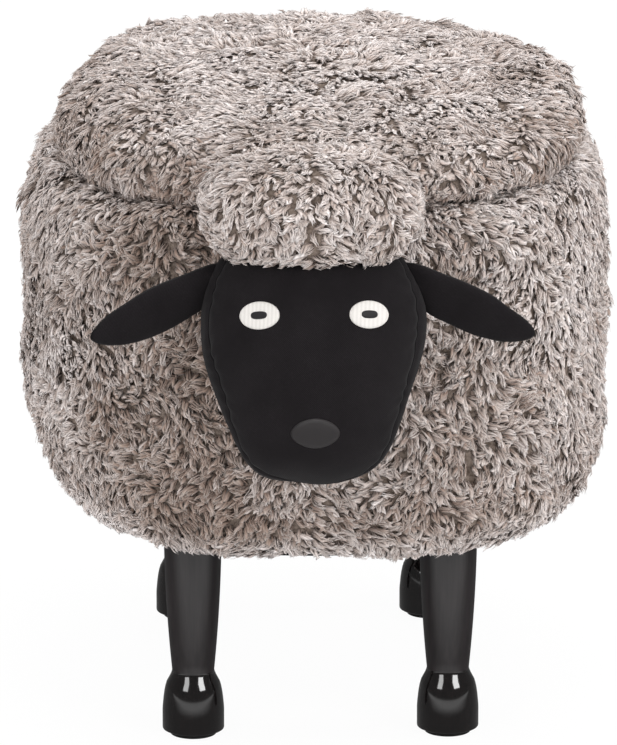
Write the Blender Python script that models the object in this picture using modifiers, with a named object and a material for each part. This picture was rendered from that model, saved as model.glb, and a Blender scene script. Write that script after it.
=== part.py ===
"""Animal footstool: an oval drum in long-pile fleece, on four turned legs, with a stuffed sheep's head.

Metres, +Z up, standing on z = 0. The head looks towards -Y. Left is -X, as seen by someone who faces it.
"""

import math

import bmesh
import bpy
from mathutils import Euler, Vector
from mathutils.bvhtree import BVHTree

# Driving dimensions of the upholstered body, measured over the tips of the fleece
BODY_WIDTH = 0.378
BODY_LENGTH = 0.480
UNDER_BODY = 0.130
BORDER_HEIGHT = 0.231
SEAT_RISE = 0.049
PLAN_POWER = 2.5

# The outline of the border: its shoulder at the seam and its rounding below
SHOULDER_WIDTH = 0.027
SHOULDER_HEIGHT = 0.050
SHOULDER_POWER = 2.0
LOWER_WIDTH = 0.055
LOWER_HEIGHT = 0.105
LOWER_POWER = 2.4

# The outline of the seat cushion above the seam
SEAT_INSET = 0.0185
LIP_HEIGHT = 0.010
CROWN_POWER = 2.6

# Layers, from the outside in
FLEECE = 0.012
FLEECE_TURN = 0.030
WADDING = 0.007
WRAP = 0.003
BASE_BOARD = 0.015
SEAT_BOARD = 0.012
BOTTOM_CLOTH = 0.001
BOTTOM_LAP = 0.022
POST_SIZE = 0.035
POST_EDGE = 0.002

# The clumps that the long pile gathers into: the dips between them, and the waves that place these
CLUMP_DEPTH = 0.0065
CLUMP_SPACING = 0.044
CLUMP_FADE = 0.025
CLUMP_CONTRAST = 1.7
CLUMP_WAY_SHARES = ((0.931, 0.26, 0.446), (-0.466, 0.93, 0.891), (0.698, -0.78, 0.891))
CLUMP_CORE_SHARE = 0.6

# Legs, turned in one piece with their hoofs
LEG_INSET = 0.1085
LEG_TOP_RADIUS = 0.0183
ANKLE_RADIUS = 0.0133
FOOT_RADIUS = 0.0195
ANKLE_HEIGHT = 0.042
HOOF_BELL_HEIGHT = 0.016
FOOT_EDGE = 0.0012
HOOF_SHARES = ((0.0, 0.0), (0.13, 0.18), (0.31, 0.58), (0.54, 0.81), (0.83, 0.95), (1.0, 1.0))

# Glides, hanger bolts and tee nuts
GLIDE_RADIUS = 0.0147
GLIDE_THICKNESS = 0.003
GLIDE_EDGE = 0.0008
NAIL_RADIUS = 0.0012
NAIL_LENGTH = 0.012
BOLT_RADIUS = 0.004
BOLT_IN_LEG = 0.040
BOLT_OVER_NUT = 0.004
BOLT_CHAMFER = 0.001
TEE_BARREL_RADIUS = 0.0055
TEE_BARREL = 0.009
TEE_FLANGE_RADIUS = 0.011
TEE_FLANGE = 0.0015
POST_GAP = 0.004

# The stuffed head, hanging down and forward from its crown
HEAD_LENGTH = 0.166
HEAD_WIDTH = 0.148
HEAD_DEPTH = 0.098
HEAD_ASIDE = -0.010
HEAD_FORWARD = 0.022
HEAD_RISE = 0.006
HEAD_TILT_DEGREES = 18.0
HEAD_CLOTH = 0.0015
HEAD_STATION_SHARES = (
    (0.06, 0.64, 0.62),
    (0.19, 0.90, 0.88),
    (0.34, 1.00, 0.98),
    (0.50, 0.98, 1.00),
    (0.66, 0.84, 0.92),
    (0.81, 0.72, 0.84),
    (0.93, 0.56, 0.62),
)

# The fleece pad over the crown of the head
POLL_WIDTH = 0.138
POLL_DEPTH = 0.116
POLL_HEIGHT = 0.074
POLL_FORWARD = 0.026
POLL_RISE = 0.013
POLL_POWER = 2.4

# Ears, leaf shaped and drooping
EAR_LENGTH = 0.096
EAR_WIDTH = 0.031
EAR_THICKNESS = 0.011
EAR_SAG = 0.003
EAR_DROOP_DEGREES = 22.5
EAR_SWEEP_DEGREES = 12.0
EAR_DROP_SHARE = 0.19
EAR_ROOT_SHARE = 0.10
EAR_STATION_SHARES = (
    (0.03, 0.74, 0.70),
    (0.20, 0.84, 1.00),
    (0.42, 1.00, 1.00),
    (0.62, 1.00, 0.90),
    (0.81, 0.80, 0.70),
    (0.94, 0.46, 0.40),
)

# Embroidered eyes and nose, and the tail
EYE_WIDTH = 0.024
EYE_HEIGHT = 0.017
EYE_SPACING = 0.066
EYE_DROP_SHARE = 0.37
NOSE_WIDTH = 0.030
NOSE_HEIGHT = 0.018
NOSE_DROP_SHARE = 0.80
STITCH_HEIGHT = 0.0014
TAIL_LENGTH = 0.078
TAIL_WIDTH = 0.046
TAIL_DEPTH = 0.036
TAIL_DROP = 0.036
TAIL_TILT_DEGREES = 14.0
TAIL_STATION_SHARES = (
    (0.06, 0.60, 0.66),
    (0.28, 0.86, 0.92),
    (0.55, 1.00, 1.00),
    (0.80, 0.86, 0.84),
    (0.95, 0.48, 0.48),
)

# Clearance between pieces that touch, and how far a cutter runs past what it cuts
CLEAR = 0.0003
OVERRUN = 0.004

# Facets: points round the plan, round a leg and round small turned pieces, and points in a quarter curve.
# The lowest levels of the fleece, under the body, are plain.
PLAN_POINTS = 32
FLEECE_POINTS = 2 * PLAN_POINTS
LEG_SIDES = 16
SMALL_SIDES = 12
SHOULDER_STEPS = 4
LOWER_STEPS = 6
PLAIN_LEVELS = 2
CROWN_STEPS = 6
FLEECE_LOWER_STEPS = 5
FLEECE_WALL_STEPS = 2
FLEECE_SHOULDER_STEPS = 3
FLEECE_SEAT_SHARES = (1.0, 0.965, 0.88, 0.77, 0.64, 0.50, 0.35, 0.19)
FINE_SEAT_SHARE = 0.45
LIP_STEPS = 2
SHAFT_STEPS = 6
CAGE_SIDES = 10
PAD_SIDES = 12
PAD_RINGS = 6
POLL_SIDES = 20
POLL_RINGS = 10

# Levels and places that follow from the sizes
HALF_WIDTH = BODY_WIDTH / 2
HALF_LENGTH = BODY_LENGTH / 2
SEAM = UNDER_BODY + BORDER_HEIGHT
BASE_UNDERSIDE = UNDER_BODY + FLEECE + CLEAR
BASE_TOP = BASE_UNDERSIDE + BASE_BOARD
WADDING_DEPTH = FLEECE + CLEAR
FOAM_DEPTH = WADDING_DEPTH + WADDING + CLEAR
SEAT_LEVEL = SEAM - FOAM_DEPTH
WRAP_INSET = LOWER_WIDTH + CLEAR
BOARD_INSET = WRAP_INSET + WRAP + CLEAR
LEG_TOP = BASE_UNDERSIDE - CLEAR
FOOT_BOTTOM = GLIDE_THICKNESS + CLEAR
LEG_X = HALF_WIDTH - LEG_INSET
LEG_Y = HALF_LENGTH - LEG_INSET
CORNERS = {
    "front_left": (-1, -1),
    "front_right": (1, -1),
    "rear_left": (-1, 1),
    "rear_right": (1, 1),
}


def clear_scene():
    """Removes what the scene holds."""
    for thing in list(bpy.data.objects):
        bpy.data.objects.remove(thing, do_unlink=True)


def new_collection(name):
    """A collection in the scene."""
    group = bpy.data.collections.new(name)
    bpy.context.scene.collection.children.link(group)
    return group


def linear(channel):
    """One sRGB channel, 0 to 255, as linear light."""
    value = channel / 255
    return value / 12.92 if value <= 0.04045 else ((value + 0.055) / 1.055) ** 2.4


def material(name, colour, roughness, metallic=0.0):
    """A Principled material, its colour given as an sRGB hex string."""
    made = bpy.data.materials.new(name)
    made.use_nodes = True
    shader = made.node_tree.nodes["Principled BSDF"]
    red, green, blue = (linear(int(colour[i : i + 2], 16)) for i in (0, 2, 4))
    shader.inputs["Base Color"].default_value = (red, green, blue, 1.0)
    shader.inputs["Roughness"].default_value = roughness
    shader.inputs["Metallic"].default_value = metallic
    made.diffuse_color = (red, green, blue, 1.0)
    return made


def add_object(name, mesh, group, finish, smooth_degrees=40.0):
    """Links a mesh as an object, shaded smooth up to an angle."""
    thing = bpy.data.objects.new(name, mesh)
    group.objects.link(thing)
    if finish is not None:
        mesh.materials.append(finish)
    mesh.shade_smooth()
    mesh.set_sharp_from_angle(angle=math.radians(smooth_degrees))
    return thing


def mesh_from(name, bm):
    """The mesh of a bmesh, its faces pointing out."""
    bmesh.ops.recalc_face_normals(bm, faces=bm.faces)
    mesh = bpy.data.meshes.new(name)
    bm.to_mesh(mesh)
    bm.free()
    return mesh


def make_cutter(thing):
    """Hides a cutter from renders and draws it as wire."""
    thing.hide_render = True
    thing.display_type = "WIRE"
    return thing


def cut(thing, *cutters):
    """Cuts each cutter from a piece."""
    for cutter in cutters:
        boolean = thing.modifiers.new(f"cut_{cutter.name}", "BOOLEAN")
        boolean.operation = "DIFFERENCE"
        boolean.solver = "EXACT"
        boolean.object = cutter


def signed_power(value, power):
    """A power that keeps the sign of its base."""
    return math.copysign(abs(value) ** power, value)


def plan_ring(level, points=PLAN_POINTS):
    """Points round the rounded plan at a level, a superellipse, or the point where it closes."""
    half_width, half_length, height = level
    if not half_width:
        return [Vector((0, 0, height))]
    ring = []
    for i in range(points):
        turn = 2 * math.pi * i / points
        x = half_width * signed_power(math.cos(turn), 2 / PLAN_POWER)
        y = half_length * signed_power(math.sin(turn), 2 / PLAN_POWER)
        ring.append(Vector((x, y, height)))
    return ring


def at_inset(inset, height):
    """A level of the body at a distance in from the fleece tips."""
    return (HALF_WIDTH - inset, HALF_LENGTH - inset, height)


def dip_share(point):
    """How far a point of the fleece lies between clumps: 0 on top of one, and at the crown, up to 1."""
    pitch = 2 * math.pi / CLUMP_SPACING
    fall = point.z - SEAM - SEAT_RISE
    waves = 0
    for aside, ahead, up in CLUMP_WAY_SHARES:
        waves += math.cos(pitch * (aside * point.x + ahead * point.y)) * math.cos(pitch * up * fall)
    return min(max((1 - CLUMP_CONTRAST * waves / len(CLUMP_WAY_SHARES)) / 2, 0), 1)


def free_share(point):
    """How freely the pile stands: 0 where the head or the tail is sewn on and presses it flat, up to 1."""
    head = Vector((HEAD_ASIDE, -HALF_LENGTH, SEAM - SHOULDER_HEIGHT))
    tail = Vector((0, HALF_LENGTH, SEAM - TAIL_DROP))
    away = min((point - head).length - HEAD_DEPTH / 2, (point - tail).length - TAIL_WIDTH / 2)
    return min(max(away / CLUMP_FADE, 0), 1)


def clumped_ring(level, tips, core_low, core_high, points=FLEECE_POINTS):
    """A ring of the fleece's outside, with the dips between clumps that belong to the level of the tips.

    The dips sink towards a core between two heights, and fade out at the seam and under the body.
    """
    ring = []
    for point, tip in zip(plan_ring(level, points), plan_ring(tips, points)):
        fade = min(abs(tip.z - SEAM) / CLUMP_FADE, (tip.z - UNDER_BODY) / CLUMP_FADE, free_share(tip))
        core = Vector((tip.x * CLUMP_CORE_SHARE, tip.y * CLUMP_CORE_SHARE, 0))
        core.z = min(max(tip.z, core_low), core_high)
        ring.append(point + (core - tip).normalized() * CLUMP_DEPTH * fade * dip_share(tip))
    return ring


def bridge(bm, low, high):
    """Faces between two rings: of equal counts, one with twice the points of the other, or one a single point."""
    if len(low) > len(high):
        low, high = high, low
    if len(low) == 1:
        for i in range(len(high)):
            bm.faces.new((high[i], high[(i + 1) % len(high)], low[0]))
        return
    for i in range(len(low)):
        j = (i + 1) % len(low)
        if len(high) > len(low):
            first, middle, last = high[2 * i], high[2 * i + 1], high[2 * j]
            bm.faces.new((low[i], low[j], middle))
            bm.faces.new((low[i], middle, first))
            bm.faces.new((low[j], last, middle))
        elif len(low) == FLEECE_POINTS:
            bm.faces.new((low[i], low[j], high[j]))
            bm.faces.new((low[i], high[j], high[i]))
        else:
            bm.faces.new((low[i], low[j], high[j], high[i]))


def loft(name, rings, group, finish, around=False):
    """A body through rings of points: a closed ring, or a solid with an end at each centre."""
    bm = bmesh.new()
    made = [[bm.verts.new(point) for point in ring] for ring in rings]
    if around:
        made.append(made[0])
    else:
        ends = [[bm.verts.new((0, 0, ring[0].co.z))] if len(ring) > 1 else [] for ring in (made[0], made[-1])]
        made = [ring for ring in (ends[0], *made, ends[1]) if ring]
    for low, high in zip(made, made[1:]):
        bridge(bm, low, high)
    return add_object(name, mesh_from(name, bm), group, finish)


def turned(name, profile, sides, group, finish, ring=False):
    """A turned piece: a profile of (radius, height) points, swept round its axis by a Screw modifier."""
    mesh = bpy.data.meshes.new(name)
    points = [(radius, 0, height) for radius, height in profile]
    edges = [(i, i + 1) for i in range(len(points) - 1)]
    if ring:
        edges.append((len(points) - 1, 0))
    mesh.from_pydata(points, edges, [])
    thing = bpy.data.objects.new(name, mesh)
    group.objects.link(thing)
    if finish is not None:
        mesh.materials.append(finish)
    screw = thing.modifiers.new("turn", "SCREW")
    screw.steps = sides
    screw.render_steps = sides
    screw.use_merge_vertices = True
    screw.merge_threshold = CLEAR / 10
    screw.use_smooth_shade = True
    return thing


def corner_curve(depth, width, height, start, power, steps):
    """Levels round a quarter of the border's outline, at a depth under the fleece tips.

    It starts on the side at the start height, and runs up by the height, or down where that is negative.
    """
    across = max(width - depth, CLEAR)
    along = math.copysign(max(abs(height) - depth, CLEAR), height)
    levels = []
    for i in range(steps + 1):
        turn = math.pi / 2 * i / steps
        inset = width - across * math.cos(turn) ** (2 / power)
        levels.append(at_inset(inset, start + along * math.sin(turn) ** (2 / power)))
    return levels


def border_curve(depth, lower_steps=LOWER_STEPS, wall_steps=0, shoulder_steps=SHOULDER_STEPS):
    """Levels of the border from its end under the body up to the seam."""
    low = UNDER_BODY + LOWER_HEIGHT
    high = SEAM - SHOULDER_HEIGHT
    lower = corner_curve(depth, LOWER_WIDTH, -LOWER_HEIGHT, low, LOWER_POWER, lower_steps)
    wall = [at_inset(depth, low + (high - low) * (i + 1) / (wall_steps + 1)) for i in range(wall_steps)]
    upper = corner_curve(depth, SHOULDER_WIDTH, SHOULDER_HEIGHT, high, SHOULDER_POWER, shoulder_steps)
    return lower[::-1] + wall + upper


def cushion_level(depth, share):
    """A level of the seat above its widest line, at a share of its half width, down to 0 at the very crown."""
    half_width = HALF_WIDTH - SEAT_INSET - depth
    half_length = HALF_LENGTH - SEAT_INSET - depth
    rise = (SEAT_RISE - LIP_HEIGHT - depth) * (1 - share**CROWN_POWER) ** (1 / CROWN_POWER)
    return (half_width * share, half_length * share, SEAM + LIP_HEIGHT + rise)


def cushion_curve(depth):
    """Levels of the seat from the widest line of its edge to the crown."""
    turns = [math.pi / 2 * i / CROWN_STEPS for i in range(CROWN_STEPS)]
    return [cushion_level(depth, math.cos(turn) ** (2 / CROWN_POWER)) for turn in turns] + [cushion_level(depth, 0)]


def skirt_curve(depth):
    """Levels of the seat's skirt on the side foam and of its lip over the seam, at a depth."""
    skirt = SHOULDER_WIDTH + CLEAR + depth
    edge = SEAT_INSET + depth
    levels = [at_inset(skirt, SEAT_LEVEL + CLEAR)]
    for i in range(LIP_STEPS + 1):
        turn = math.pi / 2 * i / (LIP_STEPS + 1)
        inset = skirt - (skirt - edge) * math.sin(turn)
        height = SEAM + LIP_HEIGHT - (LIP_HEIGHT - CLEAR) * math.cos(turn)
        levels.append(at_inset(inset, height))
    return levels


def rings_at(levels):
    """The plain rings of levels."""
    return [plan_ring(level) for level in levels]


def seat_rings(depth):
    """Rings of a plain layer of the seat at a depth, from its skirt to the crown."""
    return rings_at(skirt_curve(depth) + cushion_curve(depth))


def border_outside(depth):
    """Rings of the clumped outside of the border's fleece, from its end under the body up to the seam."""
    steps = (FLEECE_LOWER_STEPS, FLEECE_WALL_STEPS, FLEECE_SHOULDER_STEPS)
    levels = list(zip(border_curve(depth, *steps), border_curve(0, *steps)))
    low = UNDER_BODY + LOWER_HEIGHT
    high = SEAM - SHOULDER_HEIGHT
    below = [plan_ring(level) for level, _ in levels[:PLAIN_LEVELS]]
    clumped = [clumped_ring(level, tips, low, high) for level, tips in levels[PLAIN_LEVELS:-1]]
    return below + clumped + [plan_ring(levels[-1][0])]


def seat_outside(depth):
    """Rings of the clumped outside of the seat's fleece, from its widest line to the crown."""
    rings = []
    for share in FLEECE_SEAT_SHARES:
        points = FLEECE_POINTS if share > FINE_SEAT_SHARE else PLAN_POINTS
        levels = (cushion_level(depth, share), cushion_level(0, share))
        rings.append(clumped_ring(*levels, UNDER_BODY, UNDER_BODY, points))
    return rings + [plan_ring(cushion_level(depth, 0))]


def leg_cutters(group):
    """Round cutters where the legs pass through the fleece and the bottom cloth."""
    cutters = []
    top = BASE_UNDERSIDE + OVERRUN
    bottom = UNDER_BODY - OVERRUN
    radius = LEG_TOP_RADIUS + CLEAR
    for corner, (side, end) in CORNERS.items():
        profile = [(0, top), (radius, top), (radius, bottom), (0, bottom)]
        cutter = turned(f"leg_hole_{corner}", profile, LEG_SIDES, group, None)
        cutter.location = (side * LEG_X, end * LEG_Y, 0)
        cutters.append(make_cutter(cutter))
    return cutters


def bolt_cutters(group):
    """Round cutters for the tee nuts' barrels in the base board."""
    cutters = []
    top = BASE_TOP + OVERRUN
    bottom = BASE_UNDERSIDE - OVERRUN
    radius = TEE_BARREL_RADIUS + CLEAR
    for corner, (side, end) in CORNERS.items():
        profile = [(0, top), (radius, top), (radius, bottom), (0, bottom)]
        cutter = turned(f"nut_hole_{corner}", profile, SMALL_SIDES, group, None)
        cutter.location = (side * LEG_X, end * LEG_Y, 0)
        cutters.append(make_cutter(cutter))
    return cutters


def build_upholstery(parts, cutters, fleece, wadding, foam):
    """The fleece, wadding and foam of the border and the seat."""
    turn_inset = LOWER_WIDTH + FLEECE_TURN
    under = rings_at([at_inset(turn_inset, UNDER_BODY)])
    inside = rings_at(border_curve(FLEECE)[::-1] + [at_inset(turn_inset, UNDER_BODY + FLEECE)])
    cover = loft("fleece_side_cover", under + border_outside(0) + inside, parts, fleece, around=True)
    cut(cover, *leg_cutters(cutters))
    layer = border_curve(WADDING_DEPTH) + border_curve(WADDING_DEPTH + WADDING)[::-1]
    loft("side_wadding", rings_at(layer), parts, wadding, around=True)
    inner_wall = [at_inset(LOWER_WIDTH, SEAT_LEVEL)]
    loft("side_foam", rings_at(border_curve(FOAM_DEPTH) + inner_wall), parts, foam, around=True)
    outside = rings_at(skirt_curve(0)) + seat_outside(0)
    loft("fleece_top_cover", seat_rings(FLEECE)[::-1] + outside, parts, fleece)
    layer = seat_rings(WADDING_DEPTH + WADDING)[::-1] + seat_rings(WADDING_DEPTH)
    loft("seat_wadding", layer, parts, wadding)
    loft("seat_foam", seat_rings(FOAM_DEPTH), parts, foam)


def board(name, inset, bottom, top, group, finish):
    """A flat board or cloth of the body's plan shape."""
    return loft(name, rings_at([at_inset(inset, bottom), at_inset(inset, top)]), group, finish)


def build_frame(parts, cutters, plywood, hardboard, pine, cloth):
    """The boards, the posts between them, the wrap round them and the cloth below."""
    base = board("base_board", BOARD_INSET, BASE_UNDERSIDE, BASE_TOP, parts, plywood)
    cut(base, *bolt_cutters(cutters))
    board("seat_board", BOARD_INSET, SEAT_LEVEL - SEAT_BOARD, SEAT_LEVEL, parts, plywood)
    wrap = [
        at_inset(WRAP_INSET, BASE_UNDERSIDE),
        at_inset(WRAP_INSET, SEAT_LEVEL),
        at_inset(WRAP_INSET + WRAP, SEAT_LEVEL),
        at_inset(WRAP_INSET + WRAP, BASE_UNDERSIDE),
    ]
    loft("frame_wrap", rings_at(wrap), parts, hardboard, around=True)
    cloth_top = UNDER_BODY - CLEAR
    cloth_inset = LOWER_WIDTH + FLEECE_TURN - BOTTOM_LAP
    lining = board("bottom_cover", cloth_inset, cloth_top - BOTTOM_CLOTH, cloth_top, parts, cloth)
    cut(lining, *[thing for thing in cutters.objects if thing.name.startswith("leg_hole")])
    low = BASE_TOP + CLEAR
    high = SEAT_LEVEL - SEAT_BOARD - CLEAR
    post_y = LEG_Y - TEE_FLANGE_RADIUS - POST_GAP - POST_SIZE / 2
    for corner, (side, end) in CORNERS.items():
        bm = bmesh.new()
        bmesh.ops.create_cube(bm, size=1)
        bmesh.ops.scale(bm, vec=(POST_SIZE, POST_SIZE, high - low), verts=bm.verts)
        post = add_object(f"corner_post_{corner}", mesh_from("corner_post", bm), parts, pine)
        post.location = (side * LEG_X, end * post_y, (low + high) / 2)
        bevel = post.modifiers.new("planed_edges", "BEVEL")
        bevel.width = POST_EDGE
        bevel.segments = 1


def leg_profile():
    """The outline of a leg, down its outer side, with a bolt bore above and a nail bore below."""
    bore = BOLT_RADIUS + CLEAR
    bore_bottom = LEG_TOP - BOLT_IN_LEG - CLEAR
    nail_bore = NAIL_RADIUS + CLEAR
    nail_top = FOOT_BOTTOM + NAIL_LENGTH + CLEAR
    profile = [(0, bore_bottom), (bore, bore_bottom), (bore, LEG_TOP)]
    for i in range(SHAFT_STEPS):
        share = i / SHAFT_STEPS
        radius = LEG_TOP_RADIUS - (LEG_TOP_RADIUS - ANKLE_RADIUS) * share**2
        profile.append((radius, LEG_TOP - (LEG_TOP - ANKLE_HEIGHT) * share))
    for down, out in HOOF_SHARES:
        radius = ANKLE_RADIUS + (FOOT_RADIUS - ANKLE_RADIUS) * out
        profile.append((radius, ANKLE_HEIGHT - (ANKLE_HEIGHT - HOOF_BELL_HEIGHT) * down))
    profile.append((FOOT_RADIUS, FOOT_BOTTOM + FOOT_EDGE))
    profile.append((FOOT_RADIUS - FOOT_EDGE, FOOT_BOTTOM))
    return profile + [(nail_bore, FOOT_BOTTOM), (nail_bore, nail_top), (0, nail_top)]


def build_legs(parts, lacquer, nylon, steel):
    """Each leg with its glide, hanger bolt and tee nut."""
    nail_top = FOOT_BOTTOM + NAIL_LENGTH
    glide = [
        (0, nail_top),
        (NAIL_RADIUS, nail_top),
        (NAIL_RADIUS, GLIDE_THICKNESS),
        (GLIDE_RADIUS, GLIDE_THICKNESS),
        (GLIDE_RADIUS, GLIDE_EDGE),
        (GLIDE_RADIUS - GLIDE_EDGE, 0),
        (0, 0),
    ]
    flange_bottom = BASE_TOP + CLEAR
    flange_top = flange_bottom + TEE_FLANGE
    bolt_top = flange_top + BOLT_OVER_NUT
    bolt_bottom = LEG_TOP - BOLT_IN_LEG
    bolt = [
        (0, bolt_top),
        (BOLT_RADIUS - BOLT_CHAMFER, bolt_top),
        (BOLT_RADIUS, bolt_top - BOLT_CHAMFER),
        (BOLT_RADIUS, bolt_bottom + BOLT_RADIUS),
        (BOLT_CHAMFER, bolt_bottom),
        (0, bolt_bottom),
    ]
    nut_bore = BOLT_RADIUS + CLEAR
    nut = [
        (nut_bore, flange_bottom - TEE_BARREL),
        (nut_bore, flange_top),
        (TEE_FLANGE_RADIUS, flange_top),
        (TEE_FLANGE_RADIUS, flange_bottom),
        (TEE_BARREL_RADIUS, flange_bottom),
        (TEE_BARREL_RADIUS, flange_bottom - TEE_BARREL),
    ]
    for corner, (side, end) in CORNERS.items():
        set_of_four = (
            turned(f"leg_{corner}", leg_profile(), LEG_SIDES, parts, lacquer),
            turned(f"glide_{corner}", glide, LEG_SIDES, parts, nylon),
            turned(f"hanger_bolt_{corner}", bolt, SMALL_SIDES, parts, steel),
            turned(f"tee_nut_{corner}", nut, SMALL_SIDES, parts, steel, ring=True),
        )
        for thing in set_of_four:
            thing.location = (side * LEG_X, end * LEG_Y, 0)


def stuffed_form(name, stations, size, group, finish, sag=0.0):
    """A stuffed form along local -Z: a cage of oval stations, smoothed by one level of subdivision."""
    length, width, depth = size
    bm = bmesh.new()
    rings = []
    for along, across, thick in stations:
        ring = []
        for i in range(CAGE_SIDES):
            turn = 2 * math.pi * i / CAGE_SIDES
            x = width / 2 * across * math.cos(turn)
            y = depth / 2 * thick * math.sin(turn)
            ring.append(bm.verts.new((x + sag * along**2, y, -length * along)))
        rings.append(ring)
    first = bm.verts.new((0, 0, 0))
    last = bm.verts.new((sag, 0, -length))
    for upper, lower in zip(rings, rings[1:]):
        for i in range(CAGE_SIDES):
            j = (i + 1) % CAGE_SIDES
            bm.faces.new((upper[i], upper[j], lower[j], lower[i]))
    for i in range(CAGE_SIDES):
        j = (i + 1) % CAGE_SIDES
        bm.faces.new((rings[0][j], rings[0][i], first))
        bm.faces.new((rings[-1][i], rings[-1][j], last))
    thing = add_object(name, mesh_from(name, bm), group, finish, smooth_degrees=180.0)
    smooth = thing.modifiers.new("swell", "SUBSURF")
    smooth.levels = 1
    smooth.render_levels = 1
    return thing


def crown_of_head():
    """The top of the head's axis."""
    return Vector((HEAD_ASIDE, -HALF_LENGTH - HEAD_FORWARD, SEAM + HEAD_RISE))


def head_form(name, group, finish):
    """The head's outer form in its place."""
    thing = stuffed_form(name, HEAD_STATION_SHARES, (HEAD_LENGTH, HEAD_WIDTH, HEAD_DEPTH), group, finish)
    thing.location = crown_of_head()
    thing.rotation_euler = Euler((-math.radians(HEAD_TILT_DEGREES), 0, 0))
    return thing


def grow(thing, distance):
    """Moves a form's surface out along its normals, or in."""
    swell = thing.modifiers.new("grow", "DISPLACE")
    swell.mid_level = 0
    swell.strength = distance
    return thing


def body_cutter(group):
    """The outside of the upholstered body with a clearance, which shapes what is sewn to it."""
    rings = border_outside(-CLEAR)[:-1] + seat_outside(-CLEAR)
    return make_cutter(loft("body_space", rings, group, None))


def head_space(name, group, distance):
    """A cutter of the head's form, grown by a distance."""
    return make_cutter(grow(head_form(name, group, None), distance))


def spot_on(thing, start, direction):
    """Where a ray meets a form, and which way that spot faces, in world space."""
    graph = bpy.context.evaluated_depsgraph_get()
    tree = BVHTree.FromObject(thing, graph)
    to_local = thing.matrix_world.inverted()
    heading = to_local.to_3x3() @ Vector(direction)
    place, normal, _, _ = tree.ray_cast(to_local @ Vector(start), heading)
    return thing.matrix_world @ place, (thing.matrix_world.to_3x3() @ normal).normalized()


def pad(name, size, power, group, finish, sides=PAD_SIDES, rings=PAD_RINGS):
    """A rounded pad: a sphere whose quarters are filled out by a power, scaled to its size."""
    bm = bmesh.new()
    bmesh.ops.create_uvsphere(bm, u_segments=sides, v_segments=rings, radius=1)
    for vertex in bm.verts:
        reach = sum(abs(part) ** power for part in vertex.co) ** (1 / power)
        vertex.co /= reach
    bmesh.ops.scale(bm, vec=[part / 2 for part in size], verts=bm.verts)
    return add_object(name, mesh_from(name, bm), group, finish, smooth_degrees=180.0)


def build_head(parts, cutters, twill, filling, fleece, thread, nose_thread):
    """The stuffed head, its fleece pad, its ears, and its embroidered eyes and nose."""
    body = body_cutter(cutters)
    around_head = head_space("head_space", cutters, CLEAR)
    bpy.context.view_layer.update()
    cover = head_form("head_cover", parts, twill)
    cloth = cover.modifiers.new("cloth", "SOLIDIFY")
    cloth.thickness = HEAD_CLOTH
    cloth.offset = -1
    cut(cover, body)
    stuffing = grow(head_form("head_stuffing", parts, filling), -HEAD_CLOTH - CLEAR)
    cut(stuffing, body)
    poll_size = Vector((POLL_WIDTH, POLL_DEPTH, POLL_HEIGHT))
    poll = pad("poll_fleece", poll_size, POLL_POWER, parts, fleece, POLL_SIDES, POLL_RINGS)
    poll.location = (HEAD_ASIDE, -HALF_LENGTH - POLL_FORWARD, SEAM + POLL_RISE)
    cut(poll, body, around_head)
    room = poll_size + Vector((CLEAR, CLEAR, CLEAR)) * 2
    poll_space = pad("poll_space", room, POLL_POWER, cutters, None, POLL_SIDES, POLL_RINGS)
    poll_space.location = poll.location
    make_cutter(poll_space)
    tilt = math.radians(HEAD_TILT_DEGREES)
    crown = crown_of_head()
    down = Vector((0, -math.sin(tilt), -math.cos(tilt)))
    forward = Vector((0, -math.cos(tilt), math.sin(tilt)))
    outside = HEAD_WIDTH + HEAD_DEPTH
    for word, side in (("left", -1), ("right", 1)):
        beside = crown + down * HEAD_LENGTH * EAR_DROP_SHARE + Vector((side * outside, 0, 0))
        root, _ = spot_on(around_head, beside, (-side, 0, 0))
        shares = EAR_STATION_SHARES
        size = (EAR_LENGTH, EAR_WIDTH, EAR_THICKNESS)
        ear = stuffed_form(f"ear_{word}", shares, size, parts, twill, -side * EAR_SAG)
        ear.location = root - Vector((side * EAR_LENGTH * EAR_ROOT_SHARE, 0, 0))
        droop = math.radians(90 - EAR_DROOP_DEGREES)
        ear.rotation_euler = Euler((0, -side * droop, -side * math.radians(EAR_SWEEP_DEGREES)), "XYZ")
        cut(ear, poll_space, around_head)
        level = crown + down * HEAD_LENGTH * EYE_DROP_SHARE + Vector((side * EYE_SPACING / 2, 0, 0))
        spot, facing = spot_on(around_head, level + forward * outside, -forward)
        eye = pad(f"eye_{word}", (EYE_WIDTH, STITCH_HEIGHT * 2, EYE_HEIGHT), 2, parts, thread)
        eye.location = spot
        eye.rotation_euler = facing.to_track_quat("-Y", "Z").to_euler()
        cut(eye, around_head)
    level = crown + down * HEAD_LENGTH * NOSE_DROP_SHARE
    spot, facing = spot_on(around_head, level + forward * outside, -forward)
    nose = pad("nose_patch", (NOSE_WIDTH, STITCH_HEIGHT * 2, NOSE_HEIGHT), 2, parts, nose_thread)
    nose.location = spot
    nose.rotation_euler = facing.to_track_quat("-Y", "Z").to_euler()
    cut(nose, around_head)
    tail = stuffed_form("tail", TAIL_STATION_SHARES, (TAIL_LENGTH, TAIL_WIDTH, TAIL_DEPTH), parts, fleece)
    tail.location = (0, HALF_LENGTH, SEAM - TAIL_DROP)
    tail.rotation_euler = Euler((math.radians(TAIL_TILT_DEGREES), 0, 0))
    cut(tail, body)


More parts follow.
